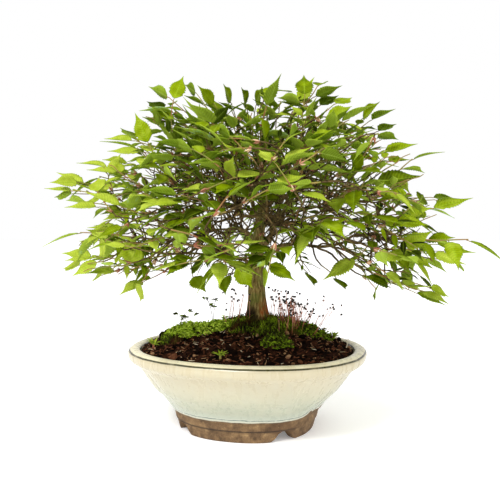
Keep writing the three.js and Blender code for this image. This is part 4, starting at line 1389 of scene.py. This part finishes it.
def add_bit(shells, place, sizes, turn, draw, tone):
    """A rough bit of bark or earth, with these half sizes along its own turned axes."""
    points = CHIP * sizes * draw.uniform(0.75, 1.2, (len(CHIP), 1))
    shells.add(points @ np.array(turn).T + place, CHIP_FACES, marks=(0, 0, tone, 0))


def make_crumbs(soil_look):
    """Loose crumbs, shreds of bark, black lumps and a pale rootlet on the soil."""
    draw = seeded("crumbs")
    shells = Shells()
    for _ in range(SOIL_BITS):
        angle, share = draw.uniform(0, 2 * math.pi), math.sqrt(draw.uniform(0.05, 0.96))
        x, y, _ = oval_row(SOIL_RADIUS * share, angle, SOIL_EDGE)
        if draw.uniform() < SHRED_SHARE:
            sizes = (draw.uniform(1.6, 5.5), draw.uniform(0.45, 1.1), draw.uniform(0.3, 0.7))
            spin, tilt = draw.uniform(0, 6.3), draw.normal(0, 0.3)
            turn = Matrix.Rotation(spin, 3, "Z") @ Matrix.Rotation(tilt, 3, "Y")
            tone = draw.choice([0.1, 0.46, 0.66, 0.82, 0.95], p=[0.22, 0.3, 0.28, 0.15, 0.05])
            rise = 0.7
        else:
            size = draw.lognormal(0.25, 0.5)
            sizes = (size, size * draw.uniform(0.5, 1), size * draw.uniform(0.4, 0.9))
            turn = any_turn(draw)
            tone = draw.choice([0.05, 0.4, 0.6, 0.8], p=[0.38, 0.28, 0.24, 0.1])
            rise = 0.4 * size
        add_bit(shells, on_soil(x, y) + UP * rise, sizes, turn, draw, tone)
    for x, y, size in LUMPS:
        sizes = (size, 0.8 * size, 0.75 * size)
        add_bit(shells, on_soil(x, y) + UP * 0.6 * size, sizes, any_turn(draw), draw, 0.12)
    foot = on_soil(*ROOTLET)
    path = curve_through([foot - UP, foot + (1.5, 0, 5), foot + (0.5, 0, 9), foot + (3.5, 0, 11)], 5)
    add_tube(shells, path, np.linspace(0.7, 0.35, len(path)), 6, (0, 0, 1.1, 0))
    shells.piece("soil_crumbs", [soil_look], "soil", smooth=False)


def cushion_wave(angle):
    """A cushion's uneven edge, as a share of its size."""
    return 1 + 0.11 * np.sin(3 * angle + 1.2) + 0.06 * np.sin(7 * angle)


def on_ground(x, y):
    """A place on the soil, or on the moss that covers it."""
    rise = 0.0
    for _, middle_x, middle_y, half_length, half_width, thickness, *_ in CUSHIONS:
        u, v = (x - middle_x) / half_length, (y - middle_y) / half_width
        share = math.hypot(u, v) / cushion_wave(math.atan2(v, u))
        if share < 0.95:
            rise = thickness * (1 - share**3)
    return on_soil(x, y) + UP * rise


def plan_cushion(x0, y0, half_length, half_width, thickness, seed):
    """The rings of a lumpy cushion's top, and those of its flat underside."""
    angle = round_turns(CUSHION_SIDES)
    top, under = [], []
    for rows, shares in ((top, np.linspace(0.02, 1, 34)), (under, np.linspace(1, 0.02, 12))):
        for share in shares:
            x = x0 + half_length * share * cushion_wave(angle) * np.cos(angle)
            y = y0 + half_width * share * cushion_wave(angle) * np.sin(angle)
            flat = columns(x, y, soil_height(x, y))
            lumps = ripples(flat, 15, seed) * 1.3 + ripples(flat, 6, seed + 1) * 0.7
            crest = (thickness * (1.1 - share**3) + lumps) * smooth_step(1.02, 0.85, share)
            rise = np.maximum(crest, 0.35)
            rows.append(flat + UP * (rise[:, None] if rows is top else 0.2 * GAP))
    return top, under


def add_strand(shells, place, tone, brown, draw):
    """A leafy strand of moss."""
    tone = tone + draw.uniform(-0.15, 0.5)
    brown = float(np.clip(brown + draw.normal(0, 0.15), 0, 1))
    way = unit(np.array([*draw.normal(0, 0.5, 2), 1.0]))
    length = draw.uniform(1.6, 4.6) * (2 if draw.uniform() < 0.14 else 1)
    lean = draw.normal(0, 0.18, 3)
    path = [place + way * length * r + lean * length * r * r for r in (-0.15, 0.5, 1)]
    add_tube(shells, path, [0.26, 0.44, 0.06], 4, [(r, brown, tone, 0) for r in (0.1, 0.6, 1)])


def add_seed_stalk(shells, place, draw):
    """A thin stalk with a nodding capsule."""
    length = draw.uniform(16, 38)
    lean = smooth_step(50, 90, place[0]) * 0.6
    way = unit(np.array([lean, 0, 1.0]) + [*draw.normal(0, 0.2, 2), 0])
    bend = draw.normal(0, 0.1, 3)
    path = [place + way * length * r + bend * length * r**2 for r in (-0.05, 0.3, 0.6, 0.9, 1)]
    nod = unit(heading(draw.uniform(0, 2 * math.pi), 1, draw.uniform(-0.3, 0.7)))
    size = draw.uniform(2.8, 4.4)
    path += [path[-1] + nod * size * r for r in (0.2, 0.5, 0.85, 1)]
    radii = [0.3, 0.25, 0.22, 0.2, 0.25, 0.24 * size, 0.34 * size, 0.22 * size, 0.1]
    add_tube(shells, path, radii, 6, [(r, 0, 0, 0) for r in (0, 0.3, 0.5, 0.7, 0.78, 0.88, 0.92, 0.96, 1)])


def make_moss(name, x0, y0, half_length, half_width, thickness, tone, stalks, seed, moss, stalk):
    """A lumpy cushion, covered with strands, and with the seed stalks that stand on it."""
    draw = np.random.RandomState(seed)
    top, under = plan_cushion(x0, y0, half_length, half_width, thickness, seed)
    points = np.vstack(top + under)
    tones = tone - 0.1 + 0.16 * ripples(points, 30, seed + 2)
    browns = 0.85 * smooth_step(-0.1, 1.1, ripples(points, 26, seed + 3))
    shells = Shells()
    faces = inside_out(*ring_faces(len(top + under), len(top[0])))
    shells.add(points, *faces, columns(0.3, browns, tones, 0))
    cut_round_trunk(shells.piece(name + "_cushion", [moss], "moss", name))
    tops = np.vstack(top)
    fuzz = Shells()
    for _ in range(int(half_length * half_width * STRANDS)):
        index = draw.randint(len(tops) // 12, len(tops))
        add_strand(fuzz, tops[index], tones[index], browns[index], draw)
    fuzz.piece(name + "_strands", [moss], "moss")
    if stalks:
        setae = Shells()
        near = sum(share * np.exp(-(((tops[:, 0] - x) / reach) ** 2)) for x, reach, share in STALK_PLACES)
        for index in draw.choice(len(tops), stalks, p=near / near.sum()):
            add_seed_stalk(setae, tops[index], draw)
        setae.piece(name + "_seed_stalks", [stalk], "moss")


def add_sprig(shells, foot, height, tone, draw):
    """A short stem with small pointed leaves."""
    top = foot + UP * height + draw.normal(0, 0.12, 3) * height
    add_tube(shells, [foot - UP, mix(foot, top, 0.5), top], [0.32, 0.28, 0.2], 5, (0.2, 0, tone - 0.25, 0))
    for _ in range(SPRIG_LEAVES):
        way = unit(heading(draw.uniform(0, 2 * math.pi), 1, draw.uniform(-0.1, 0.9)))
        length = draw.uniform(3, 7)
        base = mix(foot, top, draw.uniform(0.45, 1))
        path = [base, base + way * length * 0.45, base + way * length - UP * 0.2 * length]
        shade = tone + draw.uniform(-0.3, 0.3)
        marks = [(r, 0, shade, 0) for r in (0.3, 0.6, 1)]
        add_tube(shells, path, [0.25, draw.uniform(0.7, 1.3), 0.08], 5, marks)


def make_creepers(moss):
    """Low creeping weeds, rooted in the soil and the moss, and a few thin stalks."""
    draw = seeded("creepers")
    for name, x0, y0, half_length, half_width, sprigs, tone in CREEPERS:
        shells = Shells()
        for _ in range(sprigs):
            turn, reach = draw.uniform(0, 2 * math.pi), math.sqrt(draw.uniform())
            x, y = x0 + half_length * reach * math.cos(turn), y0 + half_width * reach * math.sin(turn)
            height = draw.uniform(1, 9) * (1.2 - 0.6 * reach)
            if oval_share(x, y) < 0.92:
                add_sprig(shells, on_ground(x, y), height, tone, draw)
        shells.piece(name, [moss], "weed")
    shells = Shells()
    for x, y, across, height in STALKS:
        steps = [(0, -1), (0.1 * across, 0.4 * height), (0.5 * across, 0.85 * height), (across, height)]
        path = curve_through([on_ground(x, y) + (aside, 0, rise) for aside, rise in steps], 5)
        add_tube(shells, path, np.linspace(0.4, 0.2, len(path)), 5, (0.4, 0.5, 0.2, 0))
        add_sprig(shells, path[-1] - UP * 1.5, 2, 0.35, draw)
        add_sprig(shells, path[len(path) // 2], 1.5, 0.45, draw)
    shells.piece("weed_stalks", [moss], "weed")


def make_weeds(weed_look):
    """Tufts of small pointed blades, in the places of the CAD model's stars."""
    draw = seeded("weeds")
    for name, x, y, length in WEEDS:
        shells = Shells()
        root = on_soil(x, y)
        add_tube(shells, [root - UP * 5.5, root + UP * 2, root + UP * 5.4], [1.1, 1.5, 1.2], 8, look=2)
        for i in range(TUFT_BLADES):
            turn, lean = i * 2.4 + draw.uniform(0, 0.5), draw.uniform(0.25, 0.95)
            way = unit(heading(turn, lean, 1 - 0.6 * lean))
            base = root + UP * draw.uniform(3, 5)
            size, tone = length * draw.uniform(0.75, 1.1), draw.uniform(0.55, 0.95)
            add_leaf(shells, Leaf(base, way, square_to(way, UP), size, tone, 0.62), draw, arch=0.3)
        shells.piece(name + "_tuft", weed_look, "weed", name)


# ---------------------------------------------------------------- the scene

shoots, limbs = plan_tree()
leaf_looks = [leaf_finish(False), leaf_finish(True), stem_finish(), scale_finish()]
soil_look, moss, stalk = soil_finish(), moss_finish(), stalk_finish()

make_pot(glaze_finish())
make_soil(soil_look)
make_crumbs(soil_look)
for seed, cushion in enumerate(CUSHIONS, start=FIRST_MOSS_SEED):
    make_moss(*cushion, seed, moss, stalk)
make_creepers(moss)
make_weeds(leaf_looks)
wood = Wood(limbs)
draw = seeded("twigs")
fill, seen = plan_fill(), plan_seen(draw)
twigs = [plan_twig(wood, shoot.start, shoot.way, draw) for shoot in fill + seen]
make_wood(limbs, twigs + plan_bare_twigs(wood, draw), bark_finish())
make_packed_shoots(shoots, leaf_looks)
make_more_shoots(fill, "crown_shoots", leaf_looks, batch=40)
make_more_shoots(seen, "outer_shoots", leaf_looks, batch=60)

screen_look = screen_finish()
for name in SCREENS:
    materials = bpy.data.objects[name].data.materials
    materials.clear()
    materials.append(screen_look)

FLOOR_SIZE = 14
bpy.ops.mesh.primitive_plane_add(size=FLOOR_SIZE)
floor = bpy.context.object
floor.name = "floor"
floor_look = Finish("pale_floor", Roughness=0.9, Base_Color=paint("fbfbfb"), Emission_Strength=0.2)
floor.data.materials.append(floor_look.material)
floor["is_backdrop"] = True

world = bpy.data.worlds.new("white_room")
world.use_nodes = True
world.node_tree.nodes["Background"].inputs["Color"].default_value = (1, 1, 1, 1)
bpy.context.scene.world = world

# Square lamps: [name, place in metres, size, power]
LAMP_AIM = (0, 0, 0.2)
LAMPS = [("key", (-1.0, -1.6, 2.2), 0.7, 56), ("right", (1.6, -1.0, 1.2), 1.2, 8)]
for name, place, size, power in LAMPS:
    lamp = bpy.data.lights.new(name, "AREA")
    lamp.size, lamp.energy = size, power
    light = add_object(name, lamp)
    light.location = place
    light.rotation_euler = (Vector(LAMP_AIM) - Vector(place)).to_track_quat("-Z", "Y").to_euler()

camera_data = bpy.data.cameras.new("camera")
camera_data.sensor_width = SENSOR
camera_data.lens = SENSOR * FOCAL_PIXELS / FRAME_PIXELS
camera = add_object("camera", camera_data)
camera.location = (CAMERA_PLACE * MM + HOME).tolist()
camera.rotation_euler = (math.pi / 2 - CAMERA_PITCH, 0, 0)
bpy.context.scene.camera = camera
bpy.context.scene.view_settings.view_transform = "Standard"

model_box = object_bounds()
boxes = {"cad": cad_box, "model": model_box}
{name: [list(corner) for corner in box] for name, box in boxes.items()}
